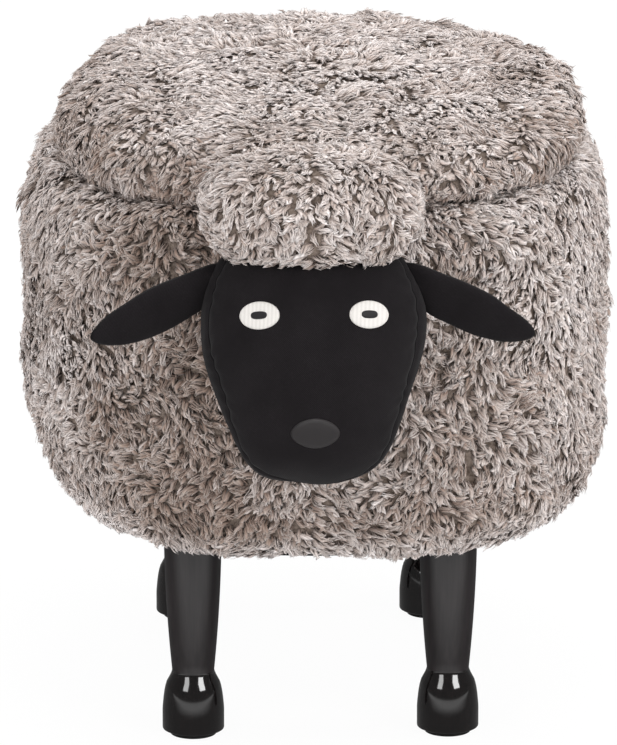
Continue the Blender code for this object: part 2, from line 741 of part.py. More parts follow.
def centre_on_floor(parts, cutters):
    """Parents everything to an empty that brings the middle of the whole length to the origin."""
    bpy.context.view_layer.update()
    graph = bpy.context.evaluated_depsgraph_get()
    reach = []
    for thing in parts.objects:
        shown = thing.evaluated_get(graph)
        reach += [(shown.matrix_world @ vertex.co).y for vertex in shown.to_mesh().vertices]
        shown.to_mesh_clear()
    stand = bpy.data.objects.new("stand_point", None)
    parts.objects.link(stand)
    stand.location = (0, -(min(reach) + max(reach)) / 2, 0)
    for thing in list(parts.objects) + list(cutters.objects):
        if thing is not stand:
            thing.parent = stand


def build():
    """Builds the footstool."""
    clear_scene()
    parts = new_collection("animal_footstool")
    cutters = new_collection("cutters")
    fleece = material("grey_fleece", "B5AAA4", 0.95)
    wadding = material("polyester_wadding", "E8E6E0", 0.95)
    foam = material("seat_foam", "E6D9A8", 0.9)
    plywood = material("plywood", "C8A878", 0.7)
    hardboard = material("hardboard", "7A5A3C", 0.75)
    pine = material("pine", "D8B888", 0.7)
    cloth = material("nonwoven_cloth", "1C1B1C", 0.9)
    lacquer = material("black_lacquered_wood", "1E1B1B", 0.25)
    nylon = material("black_nylon", "1A1A1A", 0.5)
    steel = material("zinc_plated_steel", "B8BBBE", 0.35, 1.0)
    twill = material("black_twill", "242124", 0.9)
    filling = material("fibre_filling", "EFEDE8", 0.95)
    thread = material("white_thread", "E9E6E0", 0.7)
    nose_thread = material("grey_thread", "3F3A3A", 0.7)
    build_upholstery(parts, cutters, fleece, wadding, foam)
    build_frame(parts, cutters, plywood, hardboard, pine, cloth)
    build_legs(parts, lacquer, nylon, steel)
    build_head(parts, cutters, twill, filling, fleece, thread, nose_thread)
    centre_on_floor(parts, cutters)


build()
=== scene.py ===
"""The looks of an animal footstool: a fleece-covered drum on turned legs, with a stuffed sheep's head."""

import math

import bmesh
import bpy
import numpy as np
from mathutils import Euler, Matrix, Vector
from mathutils.bvhtree import BVHTree


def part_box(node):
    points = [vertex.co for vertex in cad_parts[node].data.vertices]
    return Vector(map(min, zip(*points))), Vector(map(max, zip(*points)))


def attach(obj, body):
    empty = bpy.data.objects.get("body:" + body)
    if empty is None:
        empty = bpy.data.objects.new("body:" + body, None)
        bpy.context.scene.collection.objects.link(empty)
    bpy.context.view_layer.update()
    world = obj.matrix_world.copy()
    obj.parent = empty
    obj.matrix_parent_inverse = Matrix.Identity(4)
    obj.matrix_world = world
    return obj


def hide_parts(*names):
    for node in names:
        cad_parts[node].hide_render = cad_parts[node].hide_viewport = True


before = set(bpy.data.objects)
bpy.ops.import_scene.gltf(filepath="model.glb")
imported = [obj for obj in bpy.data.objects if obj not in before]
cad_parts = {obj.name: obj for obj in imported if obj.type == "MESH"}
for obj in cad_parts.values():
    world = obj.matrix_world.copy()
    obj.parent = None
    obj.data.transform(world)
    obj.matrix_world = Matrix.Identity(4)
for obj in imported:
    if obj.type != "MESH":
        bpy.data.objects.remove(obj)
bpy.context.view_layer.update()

# The camera stands in front, a little to the left and above, far away with a long lens.
# It looks at the middle of the upholstered drum, and the photograph's crop is a small shift.
drum_low, drum_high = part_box("fleece_side_cover")
drum_centre = (drum_low + drum_high) / 2
CAMERA_DISTANCE = 5.508
CAMERA_ELEVATION = math.radians(14.89)
CAMERA_AZIMUTH = math.radians(-1.858)
CAMERA_TARGET = Vector((0, drum_centre.y, 0.2))
LENS_PIXELS = 8578.27
IMAGE_HEIGHT_PIXELS = 745
CENTRE_RIGHT_PIXELS = 5.32
CENTRE_DOWN_PIXELS = 0.30


def add_object(name, data):
    """A new object in the scene."""
    thing = bpy.data.objects.new(name, data)
    bpy.context.scene.collection.objects.link(thing)
    return thing


camera_data = bpy.data.cameras.new("camera")
camera = add_object("camera", camera_data)
camera_back = Vector((
    math.sin(CAMERA_AZIMUTH) * math.cos(CAMERA_ELEVATION),
    -math.cos(CAMERA_AZIMUTH) * math.cos(CAMERA_ELEVATION),
    math.sin(CAMERA_ELEVATION),
))
camera.location = CAMERA_TARGET + camera_back * CAMERA_DISTANCE
camera.rotation_euler = (-camera_back).to_track_quat("-Z", "Y").to_euler()
camera_data.lens = LENS_PIXELS / IMAGE_HEIGHT_PIXELS * camera_data.sensor_width
camera_data.shift_x = -CENTRE_RIGHT_PIXELS / IMAGE_HEIGHT_PIXELS
camera_data.shift_y = CENTRE_DOWN_PIXELS / IMAGE_HEIGHT_PIXELS
camera_data.clip_end = 100
bpy.context.scene.camera = camera
bpy.context.scene.view_settings.view_transform = "Standard"


# The studio: seamless white paper on the floor, and soft boxes in front, at both sides, above and behind.
# The camera sees the paper as white with a faint shadow. Gloss sees a dim room, paper that glows for gloss
# only in front of the footstool as a painted light that is no lamp, and the soft boxes other than those at
# the sides.
def colour(text):
    """A colour written as sRGB hex, in linear light."""
    channels = [int(text[i : i + 2], 16) / 255 for i in (1, 3, 5)]
    lit = [c / 12.92 if c <= 0.04045 else ((c + 0.055) / 1.055) ** 2.4 for c in channels]
    return (*lit, 1.0)


def feed(tree, node, inputs):
    """Sets a node's inputs, each to a value or to another node's output."""
    for name, value in inputs.items():
        if isinstance(value, bpy.types.NodeSocket):
            tree.links.new(value, node.inputs[name])
        else:
            node.inputs[name].default_value = value


def add_node(tree, kind, inputs=None, stops=(), **settings):
    """Adds a shader node with its inputs and settings, and a colour ramp's stops."""
    made = tree.nodes.new("ShaderNode" + kind)
    for name, value in settings.items():
        setattr(made, name, value)
    feed(tree, made, inputs or {})
    for i, (position, text) in enumerate(stops):
        if i > 1:
            made.color_ramp.elements.new(position)
        made.color_ramp.elements[i].position = position
        made.color_ramp.elements[i].color = colour(text)
    return made


def seen_by(tree, plain, to_camera, share, to_gloss):
    """Shows the camera a share of a second light, gloss a third, and all other rays the plain one."""
    ray = add_node(tree, "LightPath")
    part = add_node(tree, "Math", {0: ray.outputs["Is Camera Ray"], 1: share}, operation="MULTIPLY")
    mixed = add_node(tree, "MixShader", {0: part.outputs[0], 1: plain.outputs[0], 2: to_camera.outputs[0]})
    seen = {0: ray.outputs["Is Glossy Ray"], 1: mixed.outputs[0], 2: to_gloss.outputs[0]}
    return add_node(tree, "MixShader", seen).outputs[0]


def new_material(name):
    """A new material and its node tree."""
    made = bpy.data.materials.new(name)
    made.use_nodes = True
    return made, made.node_tree


FLOOR_REACH = 15
PAPER_GLOW = 0.96
# Painted light: gloss sees the paper glow in front of the footstool, then fade: two places along y and the
# glow there
GLOSS_GLOW_RANGES = ((-0.16, -0.30, 0.12, 0.75), (-0.45, -1.1, 1.0, 0.12))
floor_mesh = bpy.data.meshes.new("floor")
floor_corners = [(x * FLOOR_REACH, y * FLOOR_REACH, 0) for x, y in ((-1, -1), (1, -1), (1, 1), (-1, 1))]
floor_mesh.from_pydata(floor_corners, [], [(0, 1, 2, 3)])
floor = add_object("floor", floor_mesh)
floor_material, tree = new_material("white studio paper")
tree.nodes.clear()
white = colour("#FFFFFF")
paper = add_node(tree, "BsdfDiffuse", {"Color": colour("#F4F4F4")})
glow = add_node(tree, "Emission", {"Color": white, "Strength": 1.0})
spot = add_node(tree, "SeparateXYZ", {0: add_node(tree, "NewGeometry").outputs["Position"]}).outputs[1]
near, far = (
    add_node(tree, "MapRange", {"Value": spot, 1: start, 2: end, 3: before, 4: after}).outputs[0]
    for start, end, before, after in GLOSS_GLOW_RANGES
)
gloss_glow = add_node(tree, "Math", {0: near, 1: far}, operation="MULTIPLY").outputs[0]
# The glow is emission seen only by gloss, a painted light that puts a highlight down the legs
gloss_glow = add_node(tree, "Emission", {"Color": white, "Strength": gloss_glow})
add_node(tree, "OutputMaterial", {"Surface": seen_by(tree, paper, glow, PAPER_GLOW, gloss_glow)})
floor_mesh.materials.append(floor_material)

ROOM_STRENGTH, BACKDROP_STRENGTH, GLOSS_STRENGTH = 0.70, 1.0, 0.10
world = bpy.data.worlds.new("studio")
bpy.context.scene.world = world
world.use_nodes = True
tree = world.node_tree
tree.nodes.clear()
room, backdrop, gloss_glow = (
    add_node(tree, "Background", {"Color": white, "Strength": strength})
    for strength in (ROOM_STRENGTH, BACKDROP_STRENGTH, GLOSS_STRENGTH)
)
add_node(tree, "OutputWorld", {"Surface": seen_by(tree, room, backdrop, 1.0, gloss_glow)})

# Each soft box's name, place, height that it faces, width, height and watts, and whether gloss sees it
for name, place, aim, width, height, power, in_gloss in (
    ("soft_box_left", (-1.45, -2.1, 1.3), 0.2, 0.95, 1.15, 14, True),
    ("soft_box_right", (1.5, -2.0, 1.4), 0.2, 1.15, 1.2, 31, True),
    ("soft_box_side_left", (-2.4, -0.3, 0.9), 0.25, 0.5, 1.8, 14, False),
    ("soft_box_side_right", (2.4, -0.3, 0.9), 0.25, 0.5, 1.8, 13, False),
    ("soft_box_above", (0.2, -0.1, 2.6), 0.3, 2.0, 1.6, 42, True),
    ("soft_box_behind", (0, 2.6, 1.6), 0.3, 1.8, 1.2, 20, True),
):
    lamp = bpy.data.lights.new(name, "AREA")
    lamp.shape = "RECTANGLE"
    lamp.size = width
    lamp.size_y = height
    lamp.energy = power
    soft_box = add_object(name, lamp)
    soft_box.location = place
    soft_box.rotation_euler = (Vector((0, 0, aim)) - Vector(place)).to_track_quat("-Z", "Y").to_euler()
    soft_box.visible_glossy = in_gloss


# The legs: beech turned in one piece with the hoof, sprayed with black lacquer.
# The shaft has a satin finish with a lighter tint as painted sheen, and the hoof a glossier one; a crisp
# ankle line parts them.
SHARP_ANGLE = math.radians(35)


def turned(name, profile, centre, sides, finishes, split=None):
    """A turned piece from (radius, height) points, top to bottom, with a second finish below the split."""
    bm = bmesh.new()
    rings = []
    for radius, height in profile:
        ring = []
        for i in range(sides):
            turn = 2 * math.pi * i / sides
            x, y = centre.x + radius * math.cos(turn), centre.y + radius * math.sin(turn)
            ring.append(bm.verts.new((x, y, height)))
        rings.append(ring)
    for upper, lower in zip(rings, rings[1:]):
        for i in range(sides):
            j = (i + 1) % sides
            face = bm.faces.new((upper[i], lower[i], lower[j], upper[j]))
            if split is not None and upper[i].co.z <= split:
                face.material_index = 1
    bm.faces.new(rings[0])
    bm.faces.new(rings[-1][::-1]).material_index = 0 if split is None else 1
    bmesh.ops.recalc_face_normals(bm, faces=bm.faces)
    mesh = bpy.data.meshes.new(name)
    bm.to_mesh(mesh)
    bm.free()
    for finish in finishes:
        mesh.materials.append(finish)
    mesh.shade_smooth()
    mesh.set_sharp_from_angle(angle=SHARP_ANGLE)
    return add_object(name, mesh)


def dress(tree, pattern, stops, relief, constants):
    """Gives a material its tint and fine relief from one pattern. The relief is a strength and a depth."""
    tint = add_node(tree, "ValToRGB", {"Fac": pattern}, stops=stops)
    bump = add_node(tree, "Bump", {"Height": pattern, "Strength": relief[0], "Distance": relief[1]})
    surface = {"Base Color": tint.outputs[0], "Normal": bump.outputs[0], **constants}
    feed(tree, tree.nodes["Principled BSDF"], surface)


def grained(name, stops, stretch, detail, relief, constants):
    """A material of one substance, varied by noise that has so many features per metre in each direction."""
    made, tree = new_material(name)
    place = add_node(tree, "TexCoord")
    scaled = add_node(tree, "Mapping", {"Vector": place.outputs["Object"], "Scale": stretch})
    grain = add_node(tree, "TexNoise", {"Vector": scaled.outputs[0], "Scale": 1.0, "Detail": detail})
    dress(tree, grain.outputs["Fac"], stops, relief, constants)
    return made


# The grain just telegraphs through the lacquer, in lines 1.2 mm apart and 20 times as long
LACQUER_GRAIN = (830, 830, 40)
# The satin's tint is lighter than the gloss's: a painted sheen on the same black lacquer
satin_lacquer_with_painted_sheen = grained(
    "black satin lacquer on beech", ((0.35, "#1B1718"), (0.7, "#272223")), LACQUER_GRAIN, 3.0, (0.5, 0.00004),
    {"Roughness": 0.3, "Specular IOR Level": 0.9},
)
gloss_lacquer = grained(
    "black gloss lacquer on beech", ((0.35, "#0A0707"), (0.7, "#120E0E")), LACQUER_GRAIN, 3.0, (0.5, 0.00001),
    {"Roughness": 0.1, "Specular IOR Level": 0.8, "Coat Weight": 1.0, "Coat Roughness": 0.07},
)
LEG_SIDES, SHAFT_STEPS, EDGE_STEPS = 72, 16, 4
ANKLE_HEIGHT = 0.042
BELL_HEIGHT = 0.016
ANKLE_SHARE = 0.682
TOP_SHARE = 0.938
FOOT_EDGE = 0.0012
HOOF_SHARES = ((0.0, 0.0), (0.06, 0.07), (0.13, 0.18), (0.22, 0.38), (0.31, 0.58), (0.42, 0.71), (0.54, 0.81),
               (0.68, 0.89), (0.83, 0.95), (0.92, 0.985), (1.0, 1.0))
CORNERS = ("front_left", "front_right", "rear_left", "rear_right")
for corner in CORNERS:
    low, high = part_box(f"leg_{corner}")
    foot = (high.x - low.x) / 2
    ankle = foot * ANKLE_SHARE
    profile = []
    for i in range(SHAFT_STEPS):
        share = i / SHAFT_STEPS
        radius = foot * TOP_SHARE - (foot * TOP_SHARE - ankle) * share**2
        profile.append((radius, high.z - (high.z - ANKLE_HEIGHT) * share))
    for down, out in HOOF_SHARES:
        profile.append((ankle + (foot - ankle) * out, ANKLE_HEIGHT - (ANKLE_HEIGHT - BELL_HEIGHT) * down))
    for i in range(EDGE_STEPS + 1):
        turn = math.pi / 2 * i / EDGE_STEPS
        edge = FOOT_EDGE * (1 - math.cos(turn))
        profile.append((foot - edge, low.z + FOOT_EDGE - FOOT_EDGE * math.sin(turn)))
    finishes = (satin_lacquer_with_painted_sheen, gloss_lacquer)
    leg = turned(f"turned_leg_{corner}", profile, (low + high) / 2, LEG_SIDES, finishes, ANKLE_HEIGHT)
    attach(leg, "root")
    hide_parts(f"leg_{corner}")


# The glides: moulded black nylon discs, nailed up into the feet.
# The disc has a rounded lower edge, worn matt where it slides on the floor, and a moulding texture of 0.7 mm.
nylon = grained(
    "moulded black nylon", ((0.3, "#121212"), (0.8, "#232222")), (1400,) * 3, 2.0, (0.4, 0.0001),
    {"Roughness": 0.48},
)
GLIDE_THICKNESS = 0.003
GLIDE_EDGE = 0.0009
NAIL_RADIUS = 0.0012
GLIDE_SIDES, GLIDE_EDGE_STEPS = 48, 6
for corner in CORNERS:
    low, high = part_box(f"glide_{corner}")
    radius = (high.x - low.x) / 2
    profile = [(NAIL_RADIUS, high.z), (NAIL_RADIUS, GLIDE_THICKNESS)]
    profile.append((radius - GLIDE_EDGE / 3, GLIDE_THICKNESS))
    for i in range(GLIDE_EDGE_STEPS + 1):
        turn = math.pi / 2 * i / GLIDE_EDGE_STEPS
        profile.append((radius - GLIDE_EDGE * (1 - math.cos(turn)), GLIDE_EDGE * (1 - math.sin(turn))))
    glide = turned(f"nylon_glide_{corner}", profile, (low + high) / 2, GLIDE_SIDES, (nylon,))
    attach(glide, "root")
    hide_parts(f"glide_{corner}")


# The padded drum under the fleece: the border bulges below the seam and turns under the base.
# Its ground is the knitted backing and short undercoat, brown and darkened further as painted shade, seen
# only as dark gaps between the locks.
PLAN_POWER = 2.5
SHOULDER_WIDTH, SHOULDER_HEIGHT = 0.027, 0.050
LOWER_WIDTH, LOWER_HEIGHT, LOWER_POWER = 0.055, 0.105, 2.4
TURN_UNDER = 0.0065
SEAT_INSET, LIP_HEIGHT, CROWN_POWER = 0.0185, 0.010, 2.6
SEAT_UNDERSIDE = ((0.03, 0.02), (0.008, 0.013))
PILE_DEPTH = 0.0044
GROOVE_DEPTH = PILE_DEPTH * 1.5
GROUND_LUMP, BORDER_LUMP_SPACING, SEAT_LUMP_SPACING = 0.0008, 0.045, 0.05
WALL_INSET, WALL_SLANT, WALL_MARGIN = 0.050, 0.01, 0.03
PLAN_POINTS = 192
LOWER_STEPS, SHOULDER_STEPS, STRAIGHT_STEPS, LIP_STEPS, CROWN_STEPS = 16, 10, 7, 5, 23
WAVE_COUNT, WAVE_LENGTHS, WAVE_SUM = 7, (0.7, 1.5), 1.2
half_width = (drum_high.x - drum_low.x) / 2
half_length = (drum_high.y - drum_low.y) / 2
under_body, seam = drum_low.z, drum_high.z
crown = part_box("fleece_top_cover")[1].z


def waves(points, wavelength, seed):
    """Smooth noise from about -1 to 1: sine waves of about one wavelength in all directions, added up."""
    draw = np.random.default_rng(seed)
    total = np.zeros(len(points))
    for _ in range(WAVE_COUNT):
        way = draw.normal(size=3)
        way *= 2 * math.pi / (wavelength * draw.uniform(*WAVE_LENGTHS)) / np.linalg.norm(way)
        total += np.sin(points @ way + draw.uniform(0, 2 * math.pi))
    return total / math.sqrt(WAVE_COUNT / WAVE_SUM)


def ramp(distance, width):
    """0 up to the start, 1 beyond the width, and straight between them."""
    return np.clip(distance / width, 0, 1)


def bell(values, middle, width):
    """1 at the middle, and falling off on both sides over the width."""
    return np.exp(-(((values - middle) / width) ** 2))


def plan_level(half_x, half_y, height):
    """One level round the drum's plan, a superellipse, as points."""
    turn = np.arange(PLAN_POINTS) * 2 * math.pi / PLAN_POINTS
    x = half_x * np.sign(np.cos(turn)) * np.abs(np.cos(turn)) ** (2 / PLAN_POWER)
    y = half_y * np.sign(np.sin(turn)) * np.abs(np.sin(turn)) ** (2 / PLAN_POWER)
    return np.stack([x, y + drum_centre.y, np.full(PLAN_POINTS, height)], 1)


def inset_level(inset, height):
    """One level at a distance in from the tips of the border's pile."""
    return plan_level(half_width - inset, half_length - inset, height)


def quarter(width, height, start, power, steps):
    """Levels round a quarter curve of the border, from its side up, or down if the height is negative."""
    levels = []
    along = math.copysign(abs(height) - PILE_DEPTH, height)
    for i in range(steps + 1):
        turn = math.pi / 2 * i / steps
        inset = width - (width - PILE_DEPTH) * math.cos(turn) ** (2 / power)
        levels.append(inset_level(inset, start + along * math.sin(turn) ** (2 / power)))
    return levels


def skin_from(name, levels, finish, around):
    """A closed body through levels of equal counts: a ring that meets itself, or one closed at both ends."""
    points = np.concatenate(levels)
    count, wide = len(levels), len(levels[0])
    faces = []
    for i in range(count if around else count - 1):
        k = (i + 1) % count
        for j in range(wide):
            m = (j + 1) % wide
            faces.append((i * wide + j, i * wide + m, k * wide + m, k * wide + j))
    if not around:
        points = np.concatenate([points, levels[0].mean(0)[None], levels[-1].mean(0)[None]])
        for j in range(wide):
            m = (j + 1) % wide
            faces.append((m, j, count * wide))
            faces.append(((count - 1) * wide + j, (count - 1) * wide + m, count * wide + 1))
    mesh = bpy.data.meshes.new(name)
    mesh.from_pydata(points.tolist(), [], faces)
    mesh.materials.append(finish)
    mesh.shade_smooth()
    mesh.update()
    return add_object(name, mesh)


def vertex_arrays(thing):
    """The points and the normals of an object's mesh."""
    arrays = []
    for name in ("co", "normal"):
        values = np.empty(len(thing.data.vertices) * 3, np.float32)
        thing.data.vertices.foreach_get(name, values)
        arrays.append(values.reshape(-1, 3).astype(float))
    return arrays


def move_to(thing, points):
    """Moves a mesh's vertices to new points."""
    thing.data.vertices.foreach_set("co", points.astype(np.float32).ravel())
    thing.data.update()


def make_lumpy(thing, depth, wavelength, seed, sunk=0.0):
    """Moves a skin along its normals by smooth noise, as stuffing under cloth does, and in by sunk."""
    points, normals = vertex_arrays(thing)
    points += normals * (depth * waves(points, wavelength, seed) - sunk)[:, None]
    move_to(thing, points)


CLUMP_DEPTH, CLUMP_SPACING, CLUMP_FADE, CLUMP_CONTRAST = 0.0065, 0.044, 0.025, 1.7
CLUMP_WAYS = ((0.931, 0.26, 0.446), (-0.466, 0.93, 0.891), (0.698, -0.78, 0.891))
# Where the head and the tail press the pile flat: the place, with y from the drum's middle, and the radius
SEWN_ON = ((-0.010, -half_length, seam - 0.050, 0.049), (0, half_length, seam - 0.036, 0.023))


def sink_dips(thing):
    """Sinks a skin between the clumps that the long pile gathers into, except where it is pressed flat."""
    points, normals = vertex_arrays(thing)
    here = points - (0, drum_centre.y, 0)
    pitch = 2 * math.pi / CLUMP_SPACING
    total = 0
    for aside, ahead, up in CLUMP_WAYS:
        level = np.cos(pitch * here[:, :2] @ (aside, ahead))
        total = total + level * np.cos(pitch * up * (here[:, 2] - crown))
    dip = ramp(1 - CLUMP_CONTRAST * total / len(CLUMP_WAYS), 2)
    fade = ramp(np.minimum(abs(here[:, 2] - seam), here[:, 2] - under_body), CLUMP_FADE)
    for *place, radius in SEWN_ON:
        away = np.linalg.norm(here - place, axis=1) - radius
        fade = np.minimum(fade, ramp(away, CLUMP_FADE))
    move_to(thing, points - normals * (CLUMP_DEPTH * fade * dip)[:, None])


# Where the padding has settled, as a middle and a width, and how far aside, up and down
SEAT_ASIDE, SEAT_LIFT = 0.0035, 0.0020
LOW_RIGHT, LOW_RIGHT_OUT, LOW_RIGHT_DROP = (0.155, 0.032), 0.0075, 0.0030
RIGHT_SHOULDER, LEFT_SHOULDER_IN, SHOULDER_DROP = (0.100, 0.030), 0.0030, 0.0045
LOW_FRONT, LOW_FRONT_LIFT = (-0.008, 0.032), 0.0055


def settle(thing):
    """Settles the padding: the seat leans right, and the border sags there and is up low in front."""
    points, _ = vertex_arrays(thing)
    x, y, z = points.T
    over = ramp(z - seam, 0.03)
    right_shoulder = bell(x, *RIGHT_SHOULDER) * over
    left_shoulder = bell(z, seam, 0.030) * ramp(-x / 0.05 - 2, 1)
    low_right = bell(z, *LOW_RIGHT) * ramp(x, 0.10)
    low_front = bell(x, *LOW_FRONT) * ramp(under_body + 0.05 - z, 0.05)
    low_front *= ramp(drum_low.y + 0.065 - y, 0.035)
    out = LOW_RIGHT_OUT * low_right
    lift = SEAT_LIFT * over - LOW_RIGHT_DROP * low_right - SHOULDER_DROP * right_shoulder
    points[:, 0] += SEAT_ASIDE * ramp(z - seam, 0.015) + out + LEFT_SHOULDER_IN * left_shoulder
    points[:, 2] += lift - SHOULDER_DROP * left_shoulder
    points[:, 2] += LOW_FRONT_LIFT * low_front
    move_to(thing, points)


# Undercoat clumps about 3 mm across make the ground look dull and uneven
# Its dark tints are partly painted shade for the gaps between the locks
ground = grained(
    "knitted fleece ground and undercoat", ((0.3, "#4A3F38"), (0.75, "#85786F")), (330,) * 3, 4.0,
    (1.0, 0.002), {"Roughness": 0.95, "Specular IOR Level": 0.1},
)

lower = quarter(LOWER_WIDTH, -LOWER_HEIGHT, under_body + LOWER_HEIGHT, LOWER_POWER, LOWER_STEPS)
upper = quarter(SHOULDER_WIDTH, SHOULDER_HEIGHT, seam - SHOULDER_HEIGHT, 2, SHOULDER_STEPS)
under = [inset_level(LOWER_WIDTH + TURN_UNDER, under_body + PILE_DEPTH)]
groove = [inset_level(SHOULDER_WIDTH + PILE_DEPTH, seam - GROOVE_DEPTH)]
heights = np.linspace(lower[0][0, 2], upper[0][0, 2], STRAIGHT_STEPS + 1)[1:-1]
straight = [inset_level(PILE_DEPTH, height) for height in heights]
wall = [
    inset_level(WALL_INSET, seam - WALL_MARGIN),
    inset_level(WALL_INSET + WALL_SLANT, under_body + WALL_MARGIN),
]
border_levels = under + lower[::-1] + straight + upper + groove + wall
border_ground = skin_from("fleece_border_ground", border_levels, ground, True)
sink_dips(border_ground)
settle(border_ground)
make_lumpy(border_ground, GROUND_LUMP, BORDER_LUMP_SPACING, 3)

seat_levels = [inset_level(SHOULDER_WIDTH + inward, seam - down) for inward, down in SEAT_UNDERSIDE]
edge = SEAT_INSET + PILE_DEPTH
for i in range(LIP_STEPS):
    turn = math.pi / 2 * i / LIP_STEPS
    inset = SHOULDER_WIDTH + PILE_DEPTH - (SHOULDER_WIDTH + PILE_DEPTH - edge) * math.sin(turn)
    seat_levels.append(inset_level(inset, seam + LIP_HEIGHT - LIP_HEIGHT * math.cos(turn)))
for i in range(CROWN_STEPS):
    turn = math.pi / 2 * i / CROWN_STEPS
    spread = math.cos(turn) ** (2 / CROWN_POWER)
    rise = (crown - seam - LIP_HEIGHT - PILE_DEPTH) * math.sin(turn) ** (2 / CROWN_POWER)
    height = seam + LIP_HEIGHT + rise
    seat_levels.append(plan_level((half_width - edge) * spread, (half_length - edge) * spread, height))
seat_ground = skin_from("fleece_seat_ground", seat_levels, ground, False)
sink_dips(seat_ground)
settle(seat_ground)
make_lumpy(seat_ground, GROUND_LUMP, SEAT_LUMP_SPACING, 5)
for skin, node, fill in ((border_ground, "fleece_side_cover", 0.75), (seat_ground, "fleece_top_cover", 0.7)):
    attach(skin, "root")
    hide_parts(node)


# The pile: crimped polyester wool in locks, wide flat wads below and bunches of strands over them.
# The tips are pale and pinkish grey, and the roots browner and darker, partly as painted shade, so the gaps
# between the locks look dark.
COLUMNS = 64
STEPS = 3
STRAND_POINTS = 3 * STEPS + 1
STRANDS_A_PIECE = 12000
pile_material, tree = new_material("crimped polyester fleece pile")
along, across, tone = (
    add_node(tree, "Attribute", attribute_name=name).outputs["Fac"]
    for name in ("along", "across", "tone")
)
light, dark = (
    add_node(tree, "ValToRGB", {"Fac": along}, stops=zip((0.0, 0.3, 0.65, 1.0), tints))
    for tints in (("#A7958D", "#D0C4BE", "#E4DBD8", "#F5EFEE"), ("#6C574B", "#857064", "#9F8B80", "#BCACA2"))
)
# The tone picks between the dark and the pale tints; it carries random tone and the painted light and shade
# of the tone functions
mixer = add_node(tree, "Mix", {0: tone, 6: dark.outputs[0], 7: light.outputs[0]}, data_type="RGBA")
# Single fibres show as fine lighter and darker lines along a wad, about seven across it: painted light and
# shade of the fibres
fibre_place = add_node(tree, "CombineXYZ", {0: across, 1: tone, 2: along})
stretched = add_node(tree, "Mapping", {"Vector": fibre_place.outputs[0], "Scale": (14, 240, 1.6)})
fibres = add_node(tree, "TexNoise", {"Vector": stretched.outputs[0], "Scale": 1.0, "Detail": 1.0})
depth = add_node(tree, "MapRange", {"Value": fibres.outputs["Fac"], 1: 0.32, 2: 0.62, 3: 0.6, 4: 1.06})
colour_with_painted_fibre_shade = add_node(tree, "VectorMath", {0: mixer.outputs[2], "Scale": depth.outputs[0]}, operation="SCALE")
feed(tree, tree.nodes["Principled BSDF"], {
    "Base Color": colour_with_painted_fibre_shade.outputs[0], "Roughness": 0.8, "Specular IOR Level": 0.25, "Sheen Weight": 0.15,
})


def unit(vectors):
    """Vectors of length 1."""
    return vectors / np.maximum(np.linalg.norm(vectors, axis=1), 1e-9)[:, None]


def swung(first, second, turn):
    """Vectors swung by a turn from the first towards the second."""
    return first * np.cos(turn)[:, None] + second * np.sin(turn)[:, None]


def scatter(draw, skin, area_each, weight_at):
    """Places spread over a skin, one for each patch of an area, denser or thinner as the weight says."""
    points, normals = vertex_arrays(skin)
    skin.data.calc_loop_triangles()
    corners = np.array([triangle.vertices[:] for triangle in skin.data.loop_triangles])
    a, b, c = (points[corners[:, i]] for i in range(3))
    spans = np.cross(b - a, c - a)
    total = np.cumsum(np.linalg.norm(spans, axis=1) / 2 * weight_at((a + b + c) / 3, unit(spans)))
    count = int(total[-1] / area_each)
    pick = np.searchsorted(total, (np.arange(count) + draw.random(count)) / count * total[-1])
    pick = np.minimum(pick, len(total) - 1)
    u, v = draw.random(count), draw.random(count)
    over = u + v > 1
    u[over], v[over] = 1 - u[over], 1 - v[over]
    shares = np.stack([1 - u - v, u, v], 1)[:, :, None]
    return (points[corners[pick]] * shares).sum(1), unit((normals[corners[pick]] * shares).sum(1))


# A strand's two flat corners in its column of the colours, and the column's ends
FLAT_CORNER, COLUMN_START, COLUMN_LENGTH = 0.35, 0.02, 0.96


def strand_piece(name, points, tones):
    """One mesh of closed three-sided strands, with the coordinates that colour them."""
    count = len(points)
    faces = [(0, 1, 2)]
    for ring in range(STEPS - 1):
        for j in range(3):
            k = (j + 1) % 3
            faces.append((3 * ring + j, 3 * ring + 3 + j, 3 * ring + 3 + k, 3 * ring + k))
    for j in range(3):
        faces.append((3 * STEPS - 3 + (j + 1) % 3, 3 * STEPS - 3 + j, 3 * STEPS))
    loops = np.concatenate([np.array(face) for face in faces])
    sizes = np.tile([len(face) for face in faces], count)
    loops = (loops[None] + np.arange(count)[:, None] * STRAND_POINTS).ravel()
    mesh = bpy.data.meshes.new(name)
    mesh.vertices.add(count * STRAND_POINTS)
    mesh.vertices.foreach_set("co", points.astype(np.float32).ravel())
    mesh.loops.add(len(loops))
    mesh.loops.foreach_set("vertex_index", loops.astype(np.int32))
    mesh.polygons.add(len(sizes))
    mesh.polygons.foreach_set("loop_start", (np.cumsum(sizes) - sizes).astype(np.int32))
    mesh.update(calc_edges=True)
    column = np.minimum((tones * COLUMNS).astype(int), COLUMNS - 1)
    values = {
        "along": np.tile(np.append(np.repeat(np.arange(STEPS) / STEPS, 3), 1.0), count),
        "across": np.tile(np.append(np.tile((-FLAT_CORNER, FLAT_CORNER, 0.0), STEPS), 0.0), count),
        "tone": np.repeat((column + 0.5) / COLUMNS, STRAND_POINTS),
    }
    for key, value in values.items():
        mesh.attributes.new(key, "FLOAT", "POINT").data.foreach_set("value", value.astype(np.float32))
    u = values["tone"] + values["across"] / COLUMNS
    v = COLUMN_START + COLUMN_LENGTH * values["along"]
    layer = mesh.uv_layers.new(name="OFBake")
    layer.data.foreach_set("uv", np.stack([u, v], 1)[loops].astype(np.float32).ravel())
    mesh.materials.append(pile_material)
    mesh.shade_smooth()
    thing = add_object(name, mesh)
    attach(thing, "root")


